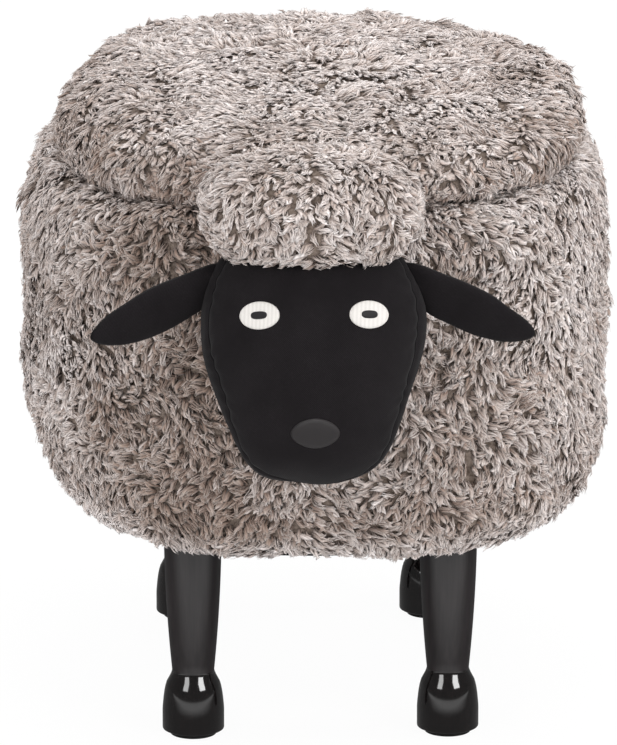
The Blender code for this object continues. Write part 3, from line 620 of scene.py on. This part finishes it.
# How bunches and strands differ, as shares of the length and width and as turns in radians
BUNCH_LENGTHS, STRAND_LENGTHS, STRAND_WIDTHS = (0.75, 1.2), (0.78, 1.1), (0.75, 1.25)
START_TURN, END_TURN, CRIMP_SHIFT, ROLL = 0.45, 0.16, 0.3, 0.35
BUNCH_RISE, STRAND_RISE, BUNCH_FALL, STRAND_FALL = 0.12, 0.1, 0.2, 0.13
CRIMP_TURN, CRIMP_PHASE = 0.45, 6
BUNCH_STRETCH, TIP_GATHER = 1.4, 0.65
STRAND_TONE = 0.12
WIDTH_SHARES = (0.7, 1.0, 0.85)


def grow_layer(
    name, draw, places, normals, heading, tones, pressed,
    strands, spread, length, width, plump, lift, drop, curl,
):
    """Bunches of strands on a skin. They rise at the lift, bend along the heading and end at the drop."""
    which = np.repeat(np.arange(len(places)), strands)
    bunches, count = len(places), len(which)
    normal, heading = normals[which], heading[which]
    aside = np.cross(heading, normal)
    reach = length * draw.uniform(*BUNCH_LENGTHS, bunches)[which] * draw.uniform(*STRAND_LENGTHS, count)
    start = START_TURN * draw.normal(size=bunches)[which]
    turn = (curl * draw.normal(size=bunches))[which] + draw.normal(0, END_TURN, count)
    crimp = draw.uniform(0, 2 * math.pi, bunches)[which] + draw.normal(0, CRIMP_SHIFT, count)
    rise = lift * pressed + draw.normal(0, BUNCH_RISE, bunches)[which] + draw.normal(0, STRAND_RISE, count)
    fall = drop + draw.normal(0, BUNCH_FALL, bunches)[which] + draw.normal(0, STRAND_FALL, count)
    round_root = draw.uniform(0, 2 * math.pi, count)
    out = spread * np.sqrt(draw.random(count))
    offset = heading * (BUNCH_STRETCH * out * np.cos(round_root))[:, None]
    offset = offset + aside * (out * np.sin(round_root))[:, None]
    roll = draw.normal(0, ROLL, count)
    wide = width * draw.uniform(*STRAND_WIDTHS, count)
    centre = places[which]
    rings = np.empty((count, STRAND_POINTS, 3))
    for i in range(STEPS + 1):
        share = i / STEPS
        swing = start + turn * share + CRIMP_TURN * np.sin(crimp + CRIMP_PHASE * share)
        bend = rise + (fall - rise) * share
        flat = swung(heading, aside, swing)
        forward = swung(flat, normal, bend)
        here = centre + offset * (1 - TIP_GATHER * share)
        if i == STEPS:
            rings[:, 3 * STEPS] = here
            break
        up = swung(normal, -flat, bend)
        side = np.cross(forward, up)
        side, up = swung(side, up, roll), swung(up, -side, roll)
        half = (wide * WIDTH_SHARES[i] / 2)[:, None]
        rings[:, 3 * i] = here - side * half
        rings[:, 3 * i + 1] = here + side * half
        rings[:, 3 * i + 2] = here + up * half * plump
        centre = centre + forward * (reach / STEPS)[:, None]
    tones = np.clip(tones[which] + draw.normal(0, STRAND_TONE, count), 0, 0.999)
    order = np.argsort(np.arctan2(centre[:, 1] - drum_centre.y, centre[:, 0]), kind="stable")
    for i, chosen in enumerate(np.array_split(order, max(1, math.ceil(count / STRANDS_A_PIECE)))):
        strand_piece(f"{name}_{i + 1}", rings[chosen], tones[chosen])


# Both layers: a bunch's area, tone and count of strands, and their spread, length and width in metres, how
# plump they are, and their lift, drop and curl in radians
LAYERS = (
    ("wads", 0.000028, -0.08, 3, 0.0020, 0.0098, 0.0028, 0.35, 0.48, -0.12, 0.6),
    ("strands", 0.000038, 0.04, 10, 0.0026, 0.0096, 0.0010, 0.75, 0.74, -0.45, 0.9),
)
# The pile swings to and fro over a wide and a narrow spacing, and its tone varies by patch and by bunch
WIDE_SWING, WIDE_SPACING, NARROW_SWING, NARROW_SPACING = 1.1, 0.07, 0.5, 0.025
PATCH_TONE, PATCH_SPACING, BUNCH_TONE = 0.1, 0.06, 0.15


def grow_pile(name, seed, skin, weight_at, lay_at, tone_at, scale=1.0, pressed=1.0):
    """Both layers of the pile over a skin, by the weight of the cover, the lay and the tone at each place."""
    draw = np.random.default_rng(seed)
    for layer, area, tone_step, strands, *lengths, plump, lift, drop, curl in LAYERS:
        places, normals = scatter(draw, skin, area * scale**2, weight_at)
        lay = lay_at(places)
        lay = unit(lay - normals * (lay * normals).sum(1)[:, None])
        swing = WIDE_SWING * waves(places, WIDE_SPACING, seed + 1)
        swing = swing + NARROW_SWING * waves(places, NARROW_SPACING, seed + 2)
        lay = swung(lay, np.cross(normals, lay), swing)
        tones = tone_at(places) + tone_step + PATCH_TONE * waves(places, PATCH_SPACING, seed + 3)
        tones = tones + BUNCH_TONE * draw.normal(size=len(places))
        sized = (strands, *(length * scale for length in lengths), plump, lift, drop, curl)
        grow_layer(f"{name}_{layer}", draw, places, normals, lay, tones, pressed, *sized)


def outward(places):
    """Level directions away from the drum's centre."""
    away = places - np.array(drum_centre)
    away[:, 2] = 0
    return unit(away)


def border_cover(at, facing):
    """Twice the pile close to the seam, and none on the hidden wall."""
    return ((outward(at) * facing).sum(1) > -0.75) * (1 + (at[:, 2] > seam - 0.010))


def border_lay(at):
    """Down and a little out, and inward where the border turns under."""
    return outward(at) * (0.15 - 1.6 * ramp(0.165 - at[:, 2:], 0.03)) + (0, 0, -1)


def border_tone_with_painted_light(at):
    """Painted light and shade in the pile's tone: painted shade low down and where the head shades the front,
    and painted light on the upper right, where more light falls, and along the fringe, lit from the floor
    below.
    """
    x, y, z = at.T
    # Painted shade on the front: low down, beside the head on both sides and under the muzzle
    shade = 0.14 * ramp(0.28 - z, 0.08) + 0.44 * bell(x, -0.088, 0.045) + 0.22 * bell(x, 0.075, 0.03)
    shade = shade + 0.18 * np.exp(-(((x + 0.01) / 0.05) ** 2) - ((z - 0.160) / 0.018) ** 2)
    tone = 0.60 - 0.22 * ramp(0.2 - z, 0.06) - ramp(drum_low.y + 0.09 - y, 0.05) * shade
    # Painted light on the upper right, where more light falls
    tone = tone + 0.10 * np.clip(x / 0.08, -1, 1) * ramp(z - 0.24, 0.05)
    # Painted light on the fringe where it turns under, lit from the floor
    return tone + 0.60 * ramp(under_body + 0.034 - z, 0.02)


def seat_cover(at, facing):
    """Twice the pile in the seam's groove, half as much again on the crown, and none underneath."""
    return (facing[:, 2] > -0.9) * (1 + (at[:, 2] < seam + 0.009) + 0.45 * (at[:, 2] > seam + 0.045))


def seat_lay(at):
    """Out from the middle and down, and combed a little to the front."""
    return outward(at) * 0.8 + (0, -0.5, -0.5)


def seat_tone_with_painted_light(at):
    """Painted light and shade in the pile's tone: pale on the crown, lit from above, and darker down towards
    the seam, as painted shade on the lip.
    """
    return 0.98 - 0.65 * ramp(1.5 - (at[:, 2] - seam) / 0.034, 1)


grow_pile("fleece_border", 11, border_ground, border_cover, border_lay, border_tone_with_painted_light)
grow_pile("fleece_seat", 41, seat_ground, seat_cover, seat_lay, seat_tone_with_painted_light, 1.0, 0.70)


# The head: a sewn shell of black cotton twill over fibre filling, two side panels joined to a front panel.
# The seams run down both sides of the face, and the cloth puckers a little along them.
HEAD_ASIDE, HEAD_FORWARD, HEAD_RISE, HEAD_TILT = -0.010, 0.022, 0.006, math.radians(18)
HEAD_LENGTH, HEAD_WIDTH, HEAD_DEPTH = 0.166, 0.148, 0.098
HEAD_STATIONS = ((0.06, 0.64, 0.62), (0.19, 0.90, 0.88), (0.34, 1.00, 0.98), (0.50, 0.98, 1.00),
                 (0.66, 0.84, 0.92), (0.81, 0.72, 0.84), (0.93, 0.56, 0.62))
STATION_POINTS = 10
SEAM_TURN = 1.22
PUCKER_HEIGHT, PUCKER_WIDTH, PUCKER_PITCH, WANDER, WANDER_SPACING = 0.0004, 0.009, 0.0021, 3, 0.03
VALLEY_DEPTH, VALLEY_WIDTH = 0.0009, 0.0035
HEAD_LUMP, HEAD_LUMP_SPACING = 0.0009, 0.045


def stuffed(name, stations, size, sag, finish, level=4):
    """A smooth stuffed form down local Z, through oval stations of (share down, width share, depth share)."""
    length, width, depth = size
    bm = bmesh.new()
    rings = []
    for down, across, thick in stations:
        ring = []
        for i in range(STATION_POINTS):
            turn = 2 * math.pi * i / STATION_POINTS
            x = width / 2 * across * math.cos(turn) + sag * down**2
            ring.append(bm.verts.new((x, depth / 2 * thick * math.sin(turn), -length * down)))
        rings.append(ring)
    first, last = bm.verts.new((0, 0, 0)), bm.verts.new((sag, 0, -length))
    for i in range(STATION_POINTS):
        j = (i + 1) % STATION_POINTS
        for upper, lower in zip(rings, rings[1:]):
            bm.faces.new((upper[j], upper[i], lower[i], lower[j]))
        bm.faces.new((rings[0][i], rings[0][j], first))
        bm.faces.new((rings[-1][j], rings[-1][i], last))
    mesh = bpy.data.meshes.new(name)
    bm.to_mesh(mesh)
    bm.free()
    cage = add_object(name + "_cage", mesh)
    cage.modifiers.new("swell", "SUBSURF").levels = level
    smooth = bpy.data.meshes.new_from_object(cage.evaluated_get(bpy.context.evaluated_depsgraph_get()))
    bpy.data.objects.remove(cage)
    smooth.materials.append(finish)
    smooth.shade_smooth()
    return add_object(name, smooth)


def twill(name, seam_of):
    """Black cotton twill with a fine matt weave, and a seam where seam_of, a distance, is near 0."""
    made, tree = new_material(name)
    place = add_node(tree, "TexCoord").outputs["Object"]
    # Twill lines 0.8 mm apart, at a slant, broken up by the yarn's own unevenness
    slanted = add_node(tree, "Mapping", {"Vector": place, "Rotation": (0, 0.8, 0)})
    lines = {"Vector": slanted.outputs[0], "Scale": 390.0, "Distortion": 3.0, "Detail": 2.0}
    lines = add_node(tree, "TexWave", lines).outputs["Fac"]
    yarn = add_node(tree, "TexNoise", {"Vector": place, "Scale": 900.0, "Detail": 2.0}).outputs["Fac"]
    weave = add_node(tree, "Math", {0: lines, 1: yarn}, operation="MULTIPLY").outputs[0]
    # Lint and wear in soft patches about 20 mm across
    worn = add_node(tree, "TexNoise", {"Vector": place, "Scale": 50.0, "Detail": 3.0}).outputs["Fac"]
    shade = add_node(tree, "Math", {0: worn, 1: weave}, operation="MULTIPLY").outputs[0]
    tint = add_node(tree, "ValToRGB", {"Fac": shade}, stops=((0.02, "#100D0F"), (0.45, "#211E20")))
    # The seam is a dark line that fades within 1.2 mm on both sides
    near = {"Value": seam_of(tree, place), 1: 0.0002, 2: 0.0012, 3: 0.35, 4: 1.0}
    near = add_node(tree, "MapRange", near).outputs[0]
    dimmed = add_node(tree, "VectorMath", {0: tint.outputs[0], "Scale": near}, operation="SCALE")
    fine = add_node(tree, "Bump", {"Height": weave, "Strength": 0.6, "Distance": 0.00015})
    bump = {"Height": near, "Strength": 0.9, "Distance": 0.0012, "Normal": fine.outputs[0]}
    bump = add_node(tree, "Bump", bump)
    feed(tree, tree.nodes["Principled BSDF"], {
        "Base Color": dimmed.outputs[0], "Normal": bump.outputs[0], "Roughness": 0.85,
        "Specular IOR Level": 0.12, "Sheen Weight": 0.04, "Sheen Roughness": 0.5,
    })
    return made


def head_seam(tree, place):
    """How far a point of the head is from the nearer side seam, in metres."""
    parts = add_node(tree, "SeparateXYZ", {0: place})
    across = add_node(tree, "Math", {0: parts.outputs[0], 1: HEAD_WIDTH / 2}, operation="DIVIDE")
    ahead = add_node(tree, "Math", {0: parts.outputs[1], 1: -HEAD_DEPTH / 2}, operation="DIVIDE")
    off = add_node(tree, "Math", {0: across.outputs[0], 1: ahead.outputs[0]}, operation="ARCTAN2")
    steps = (("ABSOLUTE", 0), ("SUBTRACT", SEAM_TURN), ("ABSOLUTE", 0), ("MULTIPLY", HEAD_DEPTH / 2))
    for operation, value in steps:
        off = add_node(tree, "Math", {0: off.outputs[0], 1: value}, operation=operation)
    return off.outputs[0]


head_twill = twill("black cotton twill, head panels", head_seam)
head = stuffed("stuffed_twill_head", HEAD_STATIONS, (HEAD_LENGTH, HEAD_WIDTH, HEAD_DEPTH), 0, head_twill, 5)
points, normals = vertex_arrays(head)
turn = np.abs(np.arctan2(points[:, 0] / HEAD_WIDTH, -points[:, 1] / HEAD_DEPTH))
off = (turn - SEAM_TURN) * HEAD_DEPTH / 2
wander = WANDER * waves(points, WANDER_SPACING, 71)
pucker = bell(off, 0, PUCKER_WIDTH) * np.sin(points[:, 2] / PUCKER_PITCH + wander)
valley = bell(off, 0, VALLEY_WIDTH)
raised = PUCKER_HEIGHT * pucker - VALLEY_DEPTH * valley + HEAD_LUMP * waves(points, HEAD_LUMP_SPACING, 72)
move_to(head, points + normals * raised[:, None])
head.location = Vector((HEAD_ASIDE, drum_low.y - HEAD_FORWARD, seam + HEAD_RISE))
head.rotation_euler = Euler((-HEAD_TILT, 0, 0))
bpy.context.view_layer.update()
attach(head, "root")
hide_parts("head_cover")


# The poll: a pad of the same fleece over the crown, sewn from two panels that meet at a parting in front.
# Its fringe hangs loose over the brow.
POLL_SIZE = np.array([0.138, 0.116, 0.074])
POLL_POWER = 2.4
POLL_RINGS, POLL_POINTS = 40, 72
POLL_LUMP, POLL_LUMP_SPACING = 0.0014, 0.03
poll_low, poll_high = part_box("poll_fleece")
poll_centre = np.array([HEAD_ASIDE, poll_low.y + POLL_SIZE[1] / 2, poll_high.z - POLL_SIZE[2] / 2])
levels = []
for i in range(1, POLL_RINGS):
    fall = math.pi * i / POLL_RINGS
    ring = []
    for j in range(POLL_POINTS):
        turn = 2 * math.pi * j / POLL_POINTS
        way = np.array([math.sin(fall) * math.cos(turn), math.sin(fall) * math.sin(turn), -math.cos(fall)])
        ring.append(way / (np.abs(way) ** POLL_POWER).sum() ** (1 / POLL_POWER))
    levels.append(np.array(ring) * (POLL_SIZE / 2 - PILE_DEPTH * 0.8) + poll_centre)
poll_ground = skin_from("fleece_poll_ground", levels, ground, False)
make_lumpy(poll_ground, POLL_LUMP, POLL_LUMP_SPACING, 81)
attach(poll_ground, "root")
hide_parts("poll_fleece")


def poll_cover(at, facing):
    """All but the part behind and below, where it lies against the drum and the head."""
    return (at[:, 1] < drum_low.y + 0.03) | (at[:, 2] > poll_centre[2])


def poll_lay(at):
    """From the crown down all round, and apart from the parting in front."""
    away = at - poll_centre
    side = np.sign(away[:, 0]) * np.exp(-np.abs(away[:, 0]) / 0.02)
    return away * (1, 1, 0.2) / 0.05 + np.stack([side, side * 0, side * 0 - 0.9], 1)


def poll_tone(at):
    """Even, with the parting as a darker line on the lower half."""
    parting = np.exp(-np.abs(at[:, 0] - poll_centre[0]) / 0.004)
    return 0.65 - 0.25 * parting * (at[:, 2] < poll_centre[2] + 0.005)


grow_pile("fleece_poll", 91, poll_ground, poll_cover, poll_lay, poll_tone, 0.92, 0.8)


# The ears: flat stuffed leaves of the same twill, turned right side out with the seam round the rim.
# They droop to both sides and are gathered a little where they are sewn on.
EAR_STATIONS = ((0.03, 0.74, 0.70), (0.20, 0.84, 1.00), (0.42, 1.00, 1.00), (0.62, 1.00, 0.90),
                (0.81, 0.78, 0.70), (0.94, 0.38, 0.40))
EAR_SIZE, EAR_SAG = (0.096, 0.031, 0.011), 0.003
EAR_DROOP, EAR_SWEEP = math.radians(22.5), math.radians(12)
EAR_LUMP, EAR_LUMP_SPACING = 0.0004, 0.03
TIP_START, TIP_LIFT = 0.6, 0.0045
GATHER_REACH, GATHER_DEPTH, GATHER_PITCH = 0.012, 0.0008, 0.0022


def ear_seam(tree, place):
    """How far a point of an ear is from the seam round its rim, in metres."""
    parts = add_node(tree, "SeparateXYZ", {0: place})
    return add_node(tree, "Math", {0: parts.outputs[1]}, operation="ABSOLUTE").outputs[0]


ear_twill = twill("black cotton twill, ears", ear_seam)
for word, side in (("left", -1), ("right", 1)):
    ear = stuffed(f"stuffed_ear_{word}", EAR_STATIONS, EAR_SIZE, -side * EAR_SAG, ear_twill)
    points, normals = vertex_arrays(ear)
    points += normals * (EAR_LUMP * waves(points, EAR_LUMP_SPACING, 101 + side))[:, None]
    tip_share = ramp(-points[:, 2] / EAR_SIZE[0] - TIP_START, 1 - TIP_START)
    points[:, 0] += side * TIP_LIFT * tip_share**2
    gather = np.exp(points[:, 2] / GATHER_REACH)
    points[:, 1] += GATHER_DEPTH * gather * np.sin(points[:, 0] / GATHER_PITCH)
    move_to(ear, points)
    low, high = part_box(f"ear_{word}")
    tip = high.x if side > 0 else low.x
    ear.rotation_euler = Euler((0, -side * (math.pi / 2 - EAR_DROOP), -side * EAR_SWEEP))
    bpy.context.view_layer.update()
    reach = np.array([ear.matrix_world @ vertex.co for vertex in ear.data.vertices])
    shown = Vector((side * (side * reach[:, 0]).max(), reach[:, 1].min(), reach[:, 2].min()))
    ear.location = Vector((tip, low.y, low.z)) - shown
    bpy.context.view_layer.update()
    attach(ear, "root")
    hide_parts(f"ear_{word}")


# The eyes and nose: satin-stitch embroidery, thread laid side by side over a low padding.
# The eyes are plain off-white ovals with a level slot for the pupil.
WAVE_PERIOD = 0.314


def thread(name, pale, deep, pitch):
    """Silky embroidery thread in lines of one pitch. At scale 1 the waves are WAVE_PERIOD apart."""
    made, tree = new_material(name)
    place = add_node(tree, "TexCoord").outputs["Object"]
    lines = {"Vector": place, "Scale": WAVE_PERIOD / pitch, "Distortion": 0.6}
    lines = add_node(tree, "TexWave", lines, bands_direction="X").outputs["Fac"]
    dress(tree, lines, ((0.1, deep), (0.7, pale)), (0.5, 0.0002), {"Roughness": 0.5})
    return made


white_thread = thread("off-white embroidery thread", "#DEDBD7", "#A8A39E", 0.0008)
dark_thread = thread("black embroidery thread", "#211E20", "#131112", 0.0006)
grey_thread = thread("dark grey embroidery thread", "#292526", "#1B1819", 0.0006)
polygons = [tuple(polygon.vertices) for polygon in head.data.polygons]
face = BVHTree.FromPolygons([vertex.co for vertex in head.data.vertices], polygons)
# The stitches of a patch, from under the cloth over the rim to the middle: shares of the size and the height
PATCH_PROFILE = ((0.97, -0.4), (1.0, 0.0), (0.97, 0.5), (0.9, 0.8), (0.7, 0.95), (0.4, 1.0), (0.12, 1.0))
PATCH_POINTS = 64
EYE_ASIDE, EYE_DOWN, EYE_SIZE, EYE_HEIGHT = 0.033, 0.0614, (0.024, 0.017), 0.0012
PUPIL_SIZE, PUPIL_POWER, PUPIL_HEIGHT = (0.0105, 0.0052), 2.6, 0.0017
NOSE_DOWN, NOSE_SIZE, NOSE_POWER, NOSE_HEIGHT = 0.1328, (0.030, 0.018), 1.8, 0.0012


def on_face(aside, down):
    """The point of the face so far aside and down from the crown, and the way that the cloth faces there."""
    place, normal, _, _ = face.ray_cast(Vector((aside, -HEAD_DEPTH, -down)), Vector((0, 1, 0)))
    turn = head.matrix_world.to_3x3()
    return head.matrix_world @ place, turn @ (normal if normal.y < 0 else -normal)


def embroidered(name, aside, down, size, power, raised, finish):
    """A raised patch of stitches on the face, of a superellipse's outline."""
    levels = []
    for share, lift in PATCH_PROFILE:
        ring = []
        for j in range(PATCH_POINTS):
            turn = 2 * math.pi * j / PATCH_POINTS
            parts = zip((math.cos(turn), math.sin(turn)), size)
            x, y = (math.copysign(abs(part) ** (2 / power), part) * span / 2 * share for part, span in parts)
            place, normal = on_face(aside + x, down - y)
            ring.append(tuple(place + normal * raised * lift))
        levels.append(np.array(ring))
    patch = skin_from(name, levels, finish, False)
    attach(patch, "root")
    return patch


for word, side in (("left", -1), ("right", 1)):
    aside = side * EYE_ASIDE
    eye = embroidered(f"embroidered_eye_{word}", aside, EYE_DOWN, EYE_SIZE, 2.0, EYE_HEIGHT, white_thread)
    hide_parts(f"eye_{word}")
    pupil = embroidered(
        f"embroidered_pupil_{word}", aside, EYE_DOWN, PUPIL_SIZE, PUPIL_POWER, PUPIL_HEIGHT, dark_thread
    )
nose = embroidered("embroidered_nose", 0, NOSE_DOWN, NOSE_SIZE, NOSE_POWER, NOSE_HEIGHT, grey_thread)
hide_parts("nose_patch")


# The tail: a short stuffed drop of the same fleece, sewn to the back just under the seam.
TAIL_STATIONS = ((0.06, 0.60, 0.66), (0.28, 0.86, 0.92), (0.55, 1.00, 1.00), (0.80, 0.86, 0.84),
                 (0.95, 0.48, 0.48))
TAIL_SIZE = (0.070, 0.038, 0.028)
TAIL_TILT, TAIL_BELOW_SEAM = math.radians(14), 0.040
TAIL_LUMP, TAIL_LUMP_SPACING = 0.001, 0.02
TAIL_SEWN = 0.012
tail_ground = stuffed("fleece_tail_ground", TAIL_STATIONS, TAIL_SIZE, 0, ground, 3)
points, normals = vertex_arrays(tail_ground)
turned_y = points[:, 1] * math.cos(TAIL_TILT) - points[:, 2] * math.sin(TAIL_TILT)
turned_z = points[:, 1] * math.sin(TAIL_TILT) + points[:, 2] * math.cos(TAIL_TILT)
move_to(tail_ground, np.stack([points[:, 0], turned_y + drum_high.y, turned_z + seam - TAIL_BELOW_SEAM], 1))
make_lumpy(tail_ground, TAIL_LUMP, TAIL_LUMP_SPACING, 111)
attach(tail_ground, "root")
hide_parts("tail")

# Its pile starts behind the sewn-in root, hangs down and a little out, and has one tone
grow_pile(
    "fleece_tail", 121, tail_ground,
    lambda at, facing: at[:, 1] > drum_high.y - TAIL_SEWN,
    lambda at: 0 * at + (0, 0.15, -1),
    lambda at: 0.55 + 0 * at[:, 0],
    0.9,
)


# The cloth and the boards inside: a black non-woven cover below, birch plywood boards, pine posts and a
# hardboard wrap. They are cut, planed or pressed flat, so the CAD solids show, with a material for each.
def plain_material(name, pale, deep, stretch, roughness, depth=0.0002, metallic=0.0):
    """A material of one substance, with a fine even grain."""
    constants = {"Roughness": roughness, "Metallic": metallic}
    return grained(name, ((0.35, deep), (0.65, pale)), stretch, 4.0, (0.5, depth), constants)


plywood = plain_material("birch plywood", "#D9B98A", "#B98F5C", (60, 9, 700), 0.6)
pine = plain_material("planed pine", "#E2C492", "#C39A62", (420, 420, 12), 0.6)
hardboard = plain_material("raw hardboard", "#7E5A3E", "#5F4230", (900,) * 3, 0.7)
zinc = plain_material("bright zinc plating on steel", "#C9CCCF", "#AEB3B8", (300,) * 3, 0.3, 0.00002, 1.0)
cover_cloth = plain_material("black non-woven dust cloth", "#262427", "#151416", (1100,) * 3, 0.9, 0.0003)
kinds = {"base_board": plywood, "seat_board": plywood, "frame_wrap": hardboard, "bottom_cover": cover_cloth}
for corner in CORNERS:
    kinds[f"corner_post_{corner}"] = pine
    kinds[f"hanger_bolt_{corner}"] = zinc
    kinds[f"tee_nut_{corner}"] = zinc
for node, material in kinds.items():
    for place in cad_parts[node].material_slots:
        place.material = material


# The soft layers inside: crowned foam, wadding over it and loose filling in the head.
# Each is the CAD solid's own form made soft, its corners rounded and its surface uneven.
foam = plain_material("cut polyurethane foam", "#E8D99E", "#CDBB7C", (800,) * 3, 0.95, 0.0008)
wadding = plain_material("polyester wadding", "#F2F0EA", "#D8D4CB", (180,) * 3, 0.95, 0.002)
filling = plain_material("loose polyester filling", "#F4F1EB", "#D5D0C6", (120,) * 3, 0.95, 0.003)
MERGE_DISTANCE, CUTS, ROUNDING, SOFT_LUMP_SPACING, SOFT_SEED = 0.00001, 2, 0.5, 0.03, 200
for seed, (node, material, slot_name, uneven, sunk) in enumerate((
    ("seat_foam", foam, "seat_foam", 0.0003, 0.0),
    ("side_foam", foam, "seat_foam", 0.0003, 0.0),
    ("seat_wadding", wadding, "polyester_wadding", 0.0005, 0.0004),
    ("side_wadding", wadding, "polyester_wadding", 0.0005, 0.0004),
    ("head_stuffing", filling, "fibre_filling", 0.0006, 0.0022),
)):
    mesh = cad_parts[node].data.copy()
    mesh.name = f"soft_{node}"
    bm = bmesh.new()
    bm.from_mesh(mesh)
    bmesh.ops.remove_doubles(bm, verts=bm.verts, dist=MERGE_DISTANCE)
    bmesh.ops.subdivide_edges(bm, edges=bm.edges, cuts=CUTS, use_grid_fill=True)
    axes = {"use_axis_x": True, "use_axis_y": True, "use_axis_z": True}
    bmesh.ops.smooth_vert(bm, verts=bm.verts, factor=ROUNDING, **axes)
    bm.to_mesh(mesh)
    bm.free()
    mesh.materials.clear()
    mesh.materials.append(material)
    mesh.shade_smooth()
    piece = add_object(f"soft_{node}", mesh)
    make_lumpy(piece, uneven, SOFT_LUMP_SPACING, SOFT_SEED + seed, sunk)
    if node != "head_stuffing":
        settle(piece)
    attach(piece, "root")
    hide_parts(node)
